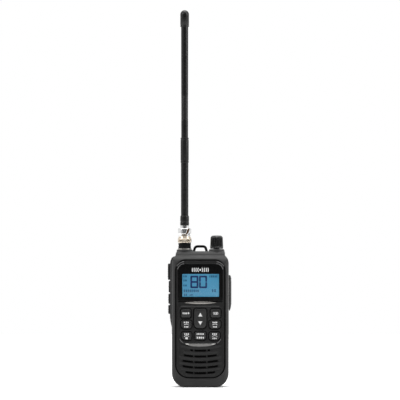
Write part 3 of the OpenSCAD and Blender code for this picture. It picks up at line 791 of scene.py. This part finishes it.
def build_trims():
    lo, hi = box("display_trim")
    half, rise, mid = (hi.x - lo.x) / 2, (hi.z - lo.z) / 2, (hi.z + lo.z) / 2
    spindle = bow(half, rise, mid + rise, True, 24) + bow(half, rise, mid - rise, False, 24)
    put(plate("bar_trim", [spindle], lo.y, hi.y, 0.3 * MM, ["trim"]), "radio", "trim_metal", "display_trim")
    lo, hi = box("crescent_trim")
    low = bow(hi.x, hi.z - lo.z - 0.3 * MM, lo.z, False, 32)
    crescent = low + [(hi.x - MM, hi.z), (MM - hi.x, hi.z)]
    put(plate("smile_trim", [crescent], lo.y, hi.y, 0.45 * MM, ["smile"]), "radio", "trim_metal",
        "crescent_trim")


# ---------------------------------------------------------------- keys

def add_arc_line(bm, cx, cz, r, a0, a1, y):
    """A printed arc; cx, cz and r are in mm."""
    cx, cz, r, half = cx * MM, cz * MM, r * MM, 0.22 * MM
    add_ink(bm, [arc(cx, cz, r + half, a0, a1, 14) + arc(cx, cz, r - half, a1, a0, 14)], y, INK)


def triangle(cx, cz, w, h, up):
    s = h / 2 if up else -h / 2
    return [mm(cx - w / 2, cz - s), mm(cx + w / 2, cz - s), mm(cx, cz + s)]


def capsule(cx, cz, half_w, half_h, r):
    return soft_box(*mm(cx - half_w, cx + half_w, cz - half_h, cz + half_h), r * MM, 5)


def legend(bm, node, y):
    """Plain printed marks, placed in mm from the middle of the key's face."""
    lo, hi = box(node)
    cx, cz = (lo.x + hi.x) / 2 / MM, (lo.z + hi.z) / 2 / MM
    if node == "rocker_key":
        for dz, up in ((4.2, True), (-4.9, False)):
            add_ink(bm, [triangle(cx, cz + dz, 4.4, 4.0, up)], y, INK)
    elif node == "key_left_1":
        add_blocks(bm, cx, cz, 7.6, 1.8, 4, y)
    elif node == "key_right_1":
        add_ink(bm, [capsule(cx, cz, 2.7, 1.3, 1.2), capsule(cx, cz, 2.3, 0.9, 0.8)], y, INK)
        add_blocks(bm, cx, cz, 3.4, 1.1, 2, y)
    elif node == "key_mid_3":
        add_blocks(bm, cx, cz + 1.9, 8.2, 1.6, 5, y)
        add_blocks(bm, cx, cz - 1.9, 8.2, 2.0, 4, y)
    else:
        add_blocks(bm, cx, cz + 2.2, 5.6, 1.6, 3, y)
        add_arc_line(bm, cx, cz - 3.4, 3.9, 48, 132, y)
        if node == "key_left_3":
            add_bar(bm, cx - 1.2, cx + 1.2, cz - 3.2, cz - 1.5, y, 0.3, INK)
            add_arc_line(bm, cx, cz - 1.6, 0.75, 0, 180, y)
        else:
            add_blocks(bm, cx, cz - 2.4, 4.8, 1.5, 3, y)


# How far a key's flange lies in front of its back.
KEY_FLANGE, ROCKER_FLANGE = mm(1.75, 1.25)


def build_front_keys():
    for node in KEY_RADII:
        rocker = node == "rocker_key"
        lo, hi = box(node)
        flange_front = hi.y - (ROCKER_FLANGE if rocker else KEY_FLANGE)
        bm = bmesh.new()
        add_plate(bm, [cap_outline(node)], lo.y, hi.y, 0.75 * MM, rings=5)
        add_plate(bm, [cap_outline(node, FLANGE)], flange_front, hi.y, 0.1 * MM)
        if rocker:
            add_plate(bm, [arc(ROCKER_Y, ROCKER_Z, 0.5 * MM, 0, 345, 23)], lo.x, hi.x, 0.1 * MM, facing_side)
        legend(bm, node, lo.y)
        key = finish_mesh(node + "_cap", bm, ["key", "white"])
        put(key, "rocker" if rocker else node + "_body", "key_rubber", node)


SIDE_RIBS = {"ptt_key": 5, "side_key_1": 1, "side_key_2": 2, "side_key_3": 3}
SIDE_RIB_PITCH = 2.4 * MM


def build_side_keys():
    for node, ribs in SIDE_RIBS.items():
        lo, hi = box(node)
        f = SIDE_FLANGE
        bm = bmesh.new()
        face = soft_box(lo.y + f, hi.y - f, lo.z + f, hi.z - f, 2 * MM)
        add_plate(bm, [face], lo.x + 0.05 * MM, hi.x, 0.9 * MM, facing_side, rings=5)
        rim = soft_box(lo.y, hi.y, lo.z, hi.z, 2.5 * MM)
        add_plate(bm, [rim], hi.x - 1.1 * MM, hi.x, 0.1 * MM, facing_side)
        for i in range(ribs):
            z = (lo.z + hi.z) / 2 + (i - (ribs - 1) / 2) * SIDE_RIB_PITCH
            rib = soft_box(lo.y + 3 * MM, hi.y - 3 * MM, z - 0.5 * MM, z + 0.5 * MM, 0.49 * MM, 5)
            add_plate(bm, [rib], lo.x - 0.15 * MM, lo.x + 0.6 * MM, 0.25 * MM, facing_side)
        put(finish_mesh(node + "_pad", bm, ["rubber"]), node + "_body", "side_rubber", node)


# ---------------------------------------------------------------- right side and top

# Where the outer face of the socket cover ends, at its hinge.
COVER_REAR = 5.9 * MM


def build_cover():
    lo, hi = box("jack_cover")
    cover = soften("socket_cover", "jack_cover", ["cover"], 0.22 * MM, 4, 0.4)
    put(cover, "cover", "side_rubber", "jack_cover")
    mid = (lo.y + COVER_REAR) / 2
    bm = bmesh.new()
    lip = soft_box(mid - 3.2 * MM, mid + 3.2 * MM, hi.z - 4.4 * MM, hi.z - 2.9 * MM, 0.7 * MM)
    add_plate(bm, [lip], hi.x + 0.25 * MM, hi.x - 0.6 * MM, 0.4 * MM, facing_side)
    rim = soft_box(lo.y + 1.2 * MM, COVER_REAR - MM, lo.z + 6.5 * MM, hi.z - 5.6 * MM, 1.4 * MM)
    inner = soft_box(lo.y + 2.0 * MM, COVER_REAR - 1.8 * MM, lo.z + 7.3 * MM, hi.z - 6.4 * MM, 0.7 * MM)
    add_plate(bm, [rim, inner], hi.x + 0.2 * MM, hi.x - 0.6 * MM, 0.25 * MM, facing_side)
    put(finish_mesh("socket_cover_lip", bm, ["cover"]), "cover", "side_rubber")


def swept(name, path, half_u, half_v, mats):
    """A rounded bar along a path in the X and Z plane; half_u is in that plane, half_v is in depth."""
    bm = bmesh.new()
    sides, roundness = 16, 0.7
    section = [(half_u * copysign(abs(cos(c)) ** roundness, cos(c)),
                half_v * copysign(abs(sin(c)) ** roundness, sin(c)))
               for c in (2 * pi * k / sides for k in range(sides))]
    rows = []
    for i, p in enumerate(path):
        a = Vector(path[max(i - 1, 0)])
        b = Vector(path[min(i + 1, len(path) - 1)])
        t = (b - a).normalized()
        rows.append([bm.verts.new(Vector(p) + Vector((-t.z * u, v, t.x * u))) for u, v in section])
    join_rows(bm, rows, capped=True)
    return finish_mesh(name, bm, mats)


def build_loop():
    lo, hi = box("strap_loop")
    y = (lo.y + hi.y) / 2
    bar = 1.35 * MM
    lean = 3.0 * MM
    corners = [(lo.x + bar, lo.z), (lo.x + lean, hi.z - bar), (hi.x - lean, hi.z - bar), (hi.x - bar, lo.z)]
    flat = rounded_profile(corners, 2.6 * MM, 8)
    path = []
    for p, q in zip(flat, flat[1:]):
        path += [(p[0] + (q[0] - p[0]) * t / 3, y, p[1] + (q[1] - p[1]) * t / 3) for t in range(3)]
    path.append((flat[-1][0], y, flat[-1][1]))
    put(swept("wrist_loop", path, bar, (hi.y - lo.y) / 2, ["loop"]), "radio", "knob_plastic", "strap_loop")


FLUTES = 16
FLUTE_DEPTH = 0.95 * MM


def build_knob():
    """A fluted knob with a slight taper, a domed shoulder and a dished top."""
    lo, hi = box("volume_knob")
    x, y = (lo.x + hi.x) / 2, (lo.y + hi.y) / 2
    r = (hi.x - lo.x) / 2
    height = hi.z - lo.z

    def fluted(rad, z, a):
        t = (z - lo.z) / height
        if rad < r * 0.6 or t < 0.1 or t > 0.93:
            return rad
        fade = min(1, (t - 0.1) / 0.06, (0.93 - t) / 0.1)
        groove = abs(sin(FLUTES * a / 2)) ** 3
        return rad - FLUTE_DEPTH * fade * groove

    def side(t):
        return r - 0.6 * MM * t

    chamfer, recess_r = mm(0.4, 3.1)
    profile = [(0, lo.z + chamfer), (recess_r, lo.z + chamfer), (recess_r, lo.z), (r - chamfer, lo.z),
               (r, lo.z + chamfer)]
    start, shoulder = 0.04, 0.8
    for i in range(1, 27):
        t = start + (shoulder - start) * i / 26
        profile.append((side(t), lo.z + height * t))
    top_r = side(shoulder)
    crown = height * (1 - shoulder)
    for i in range(1, 11):
        a = pi / 2 * i / 10
        profile.append((top_r - 2.9 * MM * (1 - cos(a)), lo.z + height * shoulder + crown * sin(a)))
    dish = 0.25 * MM
    profile += [(top_r - 3.4 * MM, hi.z), (top_r - 3.7 * MM, hi.z - dish), (0, hi.z - dish)]
    knob = lathe("turning_knob", profile, x, y, ["knob"], steps=192, shape=fluted)
    put(knob, "knob", "knob_plastic", "volume_knob")


def antenna_axis():
    lo, hi = box("upper_rod")
    return (lo.x + hi.x) / 2, (lo.y + hi.y) / 2


def build_gasket():
    """The rubber ring under the antenna, with a groove round its middle."""
    lo, hi = box("seal_ring")
    r = (hi.x - lo.x) / 2
    h = hi.z - lo.z
    inner = 4.86 * MM
    outline = [(inner, lo.z), (r, lo.z), (r, lo.z + 0.42 * h), (r - 0.5 * MM, lo.z + 0.5 * h),
               (r, lo.z + 0.58 * h), (r, hi.z), (inner, hi.z)]
    ring = lathe("gasket_ring", rounded_profile(outline, 0.35 * MM), *antenna_axis(), ["loop"])
    put(ring, "radio", "knob_plastic", "seal_ring")


NUT_TEETH = 34
NUT_BORE, NUT_INNER = 4.4, 5.8
# The outside of the bayonet nut: radius and height in mm.
NUT_PROFILE = [(5.8, 0), (6.9, 0), (7.25, 0.45), (7.25, 4.2), (6.9, 4.7), (6.15, 6.6), (6.35, 7.4),
               (6.35, 8.8), (6.9, 9.4), (7.0, 9.8), (7.0, 14.6), (6.6, 15.3), (4.4, 15.3)]


def lug_slot(t, a):
    """How deep a point at height t in mm and angle a lies in a slanting lug slot or a window, 0 to 1."""
    def off_centre(middle):
        return abs((a - radians(middle) + pi) % (2 * pi) - pi)

    for start in (-60, 120):
        off = off_centre(start + 3.5 * (t - 12))
        if 9.0 < t < 15.0 and off < 0.2:
            return min(1, (0.2 - off) / 0.05, (t - 9.0) / 0.3)
    for centre in (-92, 88):
        off = off_centre(centre)
        if 7.0 < t < 9.4 and off < 0.5:
            return min(1, (0.5 - off) / 0.08, (t - 7.0) / 0.2, (9.4 - t) / 0.2)
    return 0


def build_nut():
    """The bayonet nut: knurled foot, waist, and a bright sleeve with the lug slots, coloured dark brown inside
    as painted shade.
    """
    z0 = box("coupling_nut")[0].z
    outside = (NUT_INNER + 0.1) * MM

    def knurled(rad, z, a):
        t = (z - z0) / MM
        if rad < outside:
            return rad
        if 0.7 < t < 4.0:
            fade = min(1, (t - 0.7) / 0.3, (4.0 - t) / 0.3)
            return rad - 0.34 * MM * fade * abs(cos(NUT_TEETH * a / 2)) ** 2
        return rad - 0.75 * MM * lug_slot(t, a)

    coarse = rounded_profile([(r * MM, z0 + h * MM) for r, h in NUT_PROFILE], 0.22 * MM, 3)
    dense = []
    for p, q in zip(coarse, coarse[1:]):
        n = max(1, int(dist(p, q) / (0.28 * MM)))
        dense += [(p[0] + (q[0] - p[0]) * i / n, p[1] + (q[1] - p[1]) * i / n) for i in range(n)]
    dense.append(coarse[-1])
    step = z0 + 9.7 * MM
    dense += [(NUT_BORE * MM, step), (NUT_INNER * MM, step), (NUT_INNER * MM, z0)]

    def bands(i, a):
        (r0, h0), (r1, h1) = dense[i], dense[i + 1]
        t = ((h0 + h1) / 2 - z0) / MM
        # Faces inside a slot take the dark third material: painted shade.
        if min(r0, r1) > outside and lug_slot(t, a) > 0.5:
            return 2
        return 0 if t < 7.0 else 1

    nut = lathe("bayonet_nut", dense, *antenna_axis(), ["nickel", "bright", "bronze"], steps=204,
                shape=knurled, bands=bands)
    put(nut, "nut", "nickel", "coupling_nut")


def whip_piece(name, node, outline, **more):
    """A turned rubber piece of the antenna."""
    piece = lathe(name, outline, *antenna_axis(), ["antenna"], **more)
    put(piece, "antenna", "antenna_rubber", node)


def from_rim(steps, r, z, up=1):
    """Outline points from steps (depth below the rim r, height above z) in mm; up=-1 goes down from z."""
    return [(r - depth * MM, z + up * height * MM) for depth, height in steps]


def build_boot():
    lo, hi = box("antenna_boot")
    r, h = (hi.x - lo.x) / 2, hi.z - lo.z
    waist = r - 0.25 * MM
    outline = [(0, lo.z), (r - 0.3 * MM, lo.z), (r, lo.z + 0.4 * MM), (r, lo.z + h * 0.3),
               (waist, lo.z + h * 0.34), (waist, lo.z + h * 0.4), (r, lo.z + h * 0.44),
               (r - 0.1 * MM, hi.z - 0.9 * MM), (4.25 * MM, hi.z), (0, hi.z)]
    whip_piece("strain_boot", "antenna_boot", rounded_profile(outline, 0.3 * MM))


def build_lower_rod():
    """Heat-shrink sleeve with a faint unevenness along it."""
    lo, hi = box("lower_rod")
    r = (hi.x - lo.x) / 2
    foot = box("antenna_boot")[1].z - 0.5 * MM
    steps = [(r - 0.03 * MM * (1 - cos(i * 1.1)), foot + (hi.z - foot) * i / 60) for i in range(1, 60)]
    whip_piece("lower_whip", "lower_rod", [(0, foot), (r, foot)] + steps + [(r, hi.z), (0, hi.z)])


def build_joint():
    """The sleeve between the rods: alike at both ends, with a groove near each."""
    lo, hi = box("joint_sleeve")
    r = (hi.x - lo.x) / 2
    end = [(0.2, 0), (0, 0.3), (0, 1.7), (0.3, 1.9), (0.3, 2.3), (0, 2.5)]
    outline = [(0, lo.z)] + from_rim(end, r, lo.z) + from_rim(end[::-1], r, hi.z, -1) + [(0, hi.z)]
    whip_piece("joint_tube", "joint_sleeve", rounded_profile(outline, 0.12 * MM, 3))


def build_upper_rod():
    """The tapered upper rod; the coil under its sleeve shows as a shallow helical ripple."""
    lo, hi = box("upper_rod")
    r0, r1 = 3.65 * MM, (hi.x - lo.x) / 2
    coil_low, coil_high = lo.z + 17 * MM, lo.z + 46 * MM
    fade_over, pitch = mm(2, 1.7)

    def wound(rad, z, a):
        if rad < r0 * 0.9:
            return rad
        fade = min(1, max(0, (z - coil_low) / fade_over), max(0, (coil_high - z) / fade_over))
        return rad - 0.07 * MM * fade * (1 - cos(2 * pi * z / pitch - a))

    rows, coarse = 420, 8
    profile = [(0, lo.z)]
    for i in range(rows + 1):
        t = i / rows
        z = lo.z + (hi.z - lo.z) * t
        in_coil = coil_low - fade_over < z < coil_high + fade_over
        if in_coil or i % coarse == 0 or i == rows:
            profile.append((r0 + (r1 - r0) * t, z))
    profile.append((0, hi.z))
    whip_piece("upper_whip", "upper_rod", profile, steps=48, shape=wound)


def build_tip():
    lo, hi = box("tip_cap")
    r = (hi.x - lo.x) / 2
    collar = from_rim([(0.4, 0), (0, 0.4), (0, 1.6), (0.22, 1.9), (0.22, 2.4), (0, 2.7)], r, lo.z)
    outline = rounded_profile([(0, lo.z)] + collar, 0.15 * MM, 3)
    for a in (pi / 2 * i / 14 for i in range(14)):
        outline.append((r * cos(a), hi.z - r + r * sin(a)))
    outline.append((0, hi.z))
    whip_piece("tip_dome", "tip_cap", outline)


# ---------------------------------------------------------------- back and inside

HEAD_R = 2.2 * MM
THREAD_PITCH = 0.45 * MM
CASE_SCREWS = [mm(side * x, z) for x, z in ((26.2, 20), (25.0, 133.5)) for side in (-1, 1)]
CLIP_SCREWS = [mm(0, 77.2), mm(0, 89.4)]


def cross(cx, cz, size, arm):
    """Outline of a cross-head recess."""
    pts = [(arm, arm), (arm, size), (-arm, size), (-arm, arm), (-size, arm), (-size, -arm),
           (-arm, -arm), (-arm, -size), (arm, -size), (arm, -arm), (size, -arm), (size, arm)]
    return [(cx + u, cz + v) for u, v in pts]


def add_screw(bm, cx, cz, head_y, under_y, tip_y, shank_r):
    """A cross-head screw that faces +Y: domed head with its recess, and a ribbed shank."""
    rim = arc(cx, cz, HEAD_R, 0, 352.5, 47)
    floor = head_y - 0.75 * (head_y - under_y)
    add_plate(bm, [rim, cross(cx, cz, HEAD_R * 0.62, HEAD_R * 0.17)], head_y, floor, 0.16 * MM)
    # The recess floor takes the darker second material: painted shade.
    add_plate(bm, [rim], floor + 0.01 * MM, under_y, 0.01 * MM, mat=1)
    ridge = arc(cx, cz, shank_r, 0, 345, 23)
    for i in range(int((under_y - tip_y) / THREAD_PITCH)):
        y = under_y - i * THREAD_PITCH
        add_plate(bm, [ridge], y - 0.3 * MM, y, 0.12 * MM)
    core = arc(cx, cz, shank_r - 0.12 * MM, 0, 345, 23)
    add_plate(bm, [core], tip_y, under_y, 0.3 * MM)


def build_screws():
    for node, body, places, head, shank_r in (
            ("case_screws", "radio", CASE_SCREWS, 1.2 * MM, 1.15 * MM),
            ("clip_screws", "battery", CLIP_SCREWS, 0.8 * MM, 1.2 * MM)):
        lo, hi = box(node)
        bm = bmesh.new()
        for cx, cz in places:
            add_screw(bm, cx, cz, hi.y, hi.y - head, lo.y, shank_r)
        name = node.replace("screws", "screw_set")
        put(finish_mesh(name, bm, ["steel", "recess"]), body, "steel", node)


GRIP_RIBS = 7
GRIP_PITCH = 2.8


def build_battery():
    """The battery case, with its grip ribs and a raised border."""
    pack = bevelled("battery_pack", "battery_case", ["shell"], 0.6 * MM)
    put(pack, "battery", "shell_plastic", "battery_case")
    outer = box("battery_case")[1].y
    bm = bmesh.new()
    for i in range(GRIP_RIBS):
        z = (14 + GRIP_PITCH * i) * MM
        for x0, x1 in ((-19.5, -11), (11, 19.5)):
            rib = soft_box(x0 * MM, x1 * MM, z - 0.6 * MM, z + 0.6 * MM, 0.58 * MM, 5)
            add_plate(bm, [rib], outer + 0.45 * MM, outer - 0.2 * MM, 0.4 * MM)
    border = soft_box(*mm(-20.6, 20.6, 11.4, 91), 2.4 * MM)
    within = soft_box(*mm(-20, 20, 12, 90.4), 1.8 * MM)
    add_plate(bm, [border, within], outer + 0.3 * MM, outer - 0.2 * MM, 0.25 * MM)
    put(finish_mesh("battery_grip", bm, ["shell"]), "battery", "shell_plastic")


def build_latch():
    """The latch's plate, and a thumb pad with three grooves."""
    lo, hi = box("battery_latch")
    bm = bmesh.new()
    add_plate(bm, [soft_box(lo.x, hi.x, lo.z, hi.z, MM)], hi.y - MM, lo.y, 0.3 * MM)
    pad = soft_box(lo.x + 2 * MM, hi.x - 2 * MM, lo.z + MM, hi.z - MM, 0.8 * MM)
    grooves = [soft_box(-5 * MM, 5 * MM, z * MM, (z + 0.4) * MM, 0.18 * MM, 4) for z in (96.0, 97.2, 98.4)]
    add_plate(bm, [pad], hi.y - 0.4 * MM, hi.y - 1.3 * MM, 0.1 * MM)
    add_plate(bm, [pad] + grooves, hi.y, hi.y - 0.5 * MM, 0.12 * MM)
    put(finish_mesh("latch_slider", bm, ["panel"]), "latch", "panel_plastic", "battery_latch")


def build_clip():
    """The belt clip, its bracket, and the spring coil round its pin."""
    mount = bevelled("clip_mount", "clip_bracket", ["panel"], 0.4 * MM)
    put(mount, "battery", "panel_plastic", "clip_bracket")
    put(bevelled("belt_hook", "belt_clip", ["panel"], 0.35 * MM), "clip", "panel_plastic", "belt_clip")
    lo, hi = box("clip_spring")
    x0, x1 = lo.x + 0.4 * MM, hi.x - 0.4 * MM
    cy, cz = (lo.y + hi.y) / 2, (lo.z + hi.z) / 2
    radius, wire = (hi.z - lo.z) / 2 - 0.4 * MM, 0.38 * MM
    turns, per_turn, sides = 5, 28, 10
    steps = turns * per_turn
    bm = bmesh.new()
    rows = []
    for i in range(steps + 1):
        a = 2 * pi * i / per_turn
        centre = Vector((x0 + (x1 - x0) * i / steps, cy + radius * cos(a), cz + radius * sin(a)))
        out = Vector((0, cos(a), sin(a)))
        rows.append([bm.verts.new(centre + (out * cos(b) + Vector((1, 0, 0)) * sin(b)) * wire)
                     for b in (2 * pi * k / sides for k in range(sides))])
    join_rows(bm, rows, capped=True)
    put(finish_mesh("clip_coil", bm, ["steel"]), "battery", "steel", "clip_spring")


# The CAD nodes that are shown as they are, by material.
CAD_FINISH = {
    "milky": ["backlight"], "rubber": ["keypad_membrane"], "cloth": ["speaker_mesh"], "tin": ["shield_can"],
    "inner": ["speaker_frame", "speaker_cone", "jack_block", "control_body"],
    "steel": ["microphone", "board_screws", "control_shaft", "clip_pin"],
    "board": ["main_board", "side_switch_board"], "nickel": ["control_nut", "jack_nut"],
    "gold": ["jack_contact", "contact_pin", "battery_contacts"], "trim": ["bnc_jack"],
    "bright": ["plug_body"], "fibre": ["antenna_core"], "cell": ["battery_cells"],
}


def finish_cad_nodes():
    for mat, nodes in CAD_FINISH.items():
        for slot in [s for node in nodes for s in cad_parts[node].material_slots]:
            slot.material = MATS[mat]


# ---------------------------------------------------------------- stage, lights and camera

# Width of the view at the object, the camera's distance, and how far it looks down.
SPAN = 0.4224
DISTANCE = 5.0
TILT = radians(1.0)
LOOK_AT = Vector((-0.0003, 0.0, 0.1971))
FLOOR_RADIUS = 1.2
SENSOR = 36


def build_stage():
    """A plain pale floor; the pale surroundings meet it at the horizon."""
    bm = bmesh.new()
    bmesh.ops.create_circle(bm, cap_ends=True, radius=FLOOR_RADIUS, segments=96)
    floor = finish_mesh("studio_floor", bm, [])
    n = Nodes("studio_paper")
    n.colour(n.ramp(n.noise(3, 2), 0.3, 0.7, grey(0.86), grey(0.89)))
    n.fix("Roughness", 0.9)
    n.fix("Specular IOR Level", 0.1)
    floor.data.materials.append(n.mat)


def area_light(name, place, target, size, power):
    data = bpy.data.lights.new(name, "AREA")
    data.shape = "RECTANGLE"
    data.size, data.size_y = size
    data.energy = power
    obj = bpy.data.objects.new(name, data)
    obj.location = place
    obj.rotation_euler = (Vector(target) - Vector(place)).to_track_quat("-Z", "Y").to_euler()
    COL.objects.link(obj)


def build_world():
    """Plain white to the camera; to reflections, a room that is dimmer in front and brighter overhead."""
    world = bpy.data.worlds.new("studio")
    world.use_nodes = True
    tree = world.node_tree
    link = tree.links.new
    coord = tree.nodes.new("ShaderNodeTexCoord")
    split = tree.nodes.new("ShaderNodeSeparateXYZ")
    link(coord.outputs["Generated"], split.inputs["Vector"])

    def eased(axis, *limits):
        """Brightness that changes smoothly along one axis."""
        m = tree.nodes.new("ShaderNodeMapRange")
        m.interpolation_type = "SMOOTHSTEP"
        for key, value in zip(("From Min", "From Max", "To Min", "To Max"), limits):
            m.inputs[key].default_value = value
        link(split.outputs[axis], m.inputs["Value"])
        return m.outputs["Result"]

    total = tree.nodes.new("ShaderNodeMath")
    link(eased("Y", -0.95, -0.2, 0.08, 0.95), total.inputs[0])
    link(eased("Z", 0.45, 0.85, 0.0, 0.9), total.inputs[1])
    reflected = tree.nodes["Background"]
    seen = tree.nodes.new("ShaderNodeBackground")
    for background in (reflected, seen):
        background.inputs["Color"].default_value = (1, 1, 1, 1)
    link(total.outputs["Value"], reflected.inputs["Strength"])
    ray = tree.nodes.new("ShaderNodeLightPath")
    mix = tree.nodes.new("ShaderNodeMixShader")
    link(ray.outputs["Is Camera Ray"], mix.inputs["Fac"])
    link(reflected.outputs["Background"], mix.inputs[1])
    link(seen.outputs["Background"], mix.inputs[2])
    link(mix.outputs["Shader"], tree.nodes["World Output"].inputs["Surface"])
    bpy.context.scene.world = world


def build_lights():
    build_world()
    area_light("key_left", (-1.5, -1.0, 1.2), (0, 0, 0.12), (0.3, 1.0), 13)
    area_light("key_right", (1.6, -0.7, 0.9), (0, 0, 0.12), (0.3, 1.2), 13)
    area_light("top", (0, 0.1, 1.9), (0, 0, 0.1), (1.2, 1.0), 16)
    bpy.context.scene.view_settings.view_transform = "Standard"


def build_camera():
    data = bpy.data.cameras.new("camera")
    data.sensor_width = SENSOR
    data.lens = SENSOR * DISTANCE / SPAN
    data.clip_start, data.clip_end = 0.05, 20
    cam = bpy.data.objects.new("camera", data)
    cam.location = LOOK_AT + Vector((0, -cos(TILT), sin(TILT))) * DISTANCE
    cam.rotation_euler = (pi / 2 - TILT, 0, 0)
    COL.objects.link(cam)
    bpy.context.scene.camera = cam


build_stage()
build_lights()
build_camera()
build_shells()
build_panel()
build_display()
build_trims()
build_front_keys()
build_side_keys()
build_cover()
build_loop()
build_knob()
build_gasket()
build_nut()
build_boot()
build_lower_rod()
build_joint()
build_upper_rod()
build_tip()
build_battery()
build_latch()
build_clip()
build_screws()
finish_cad_nodes()
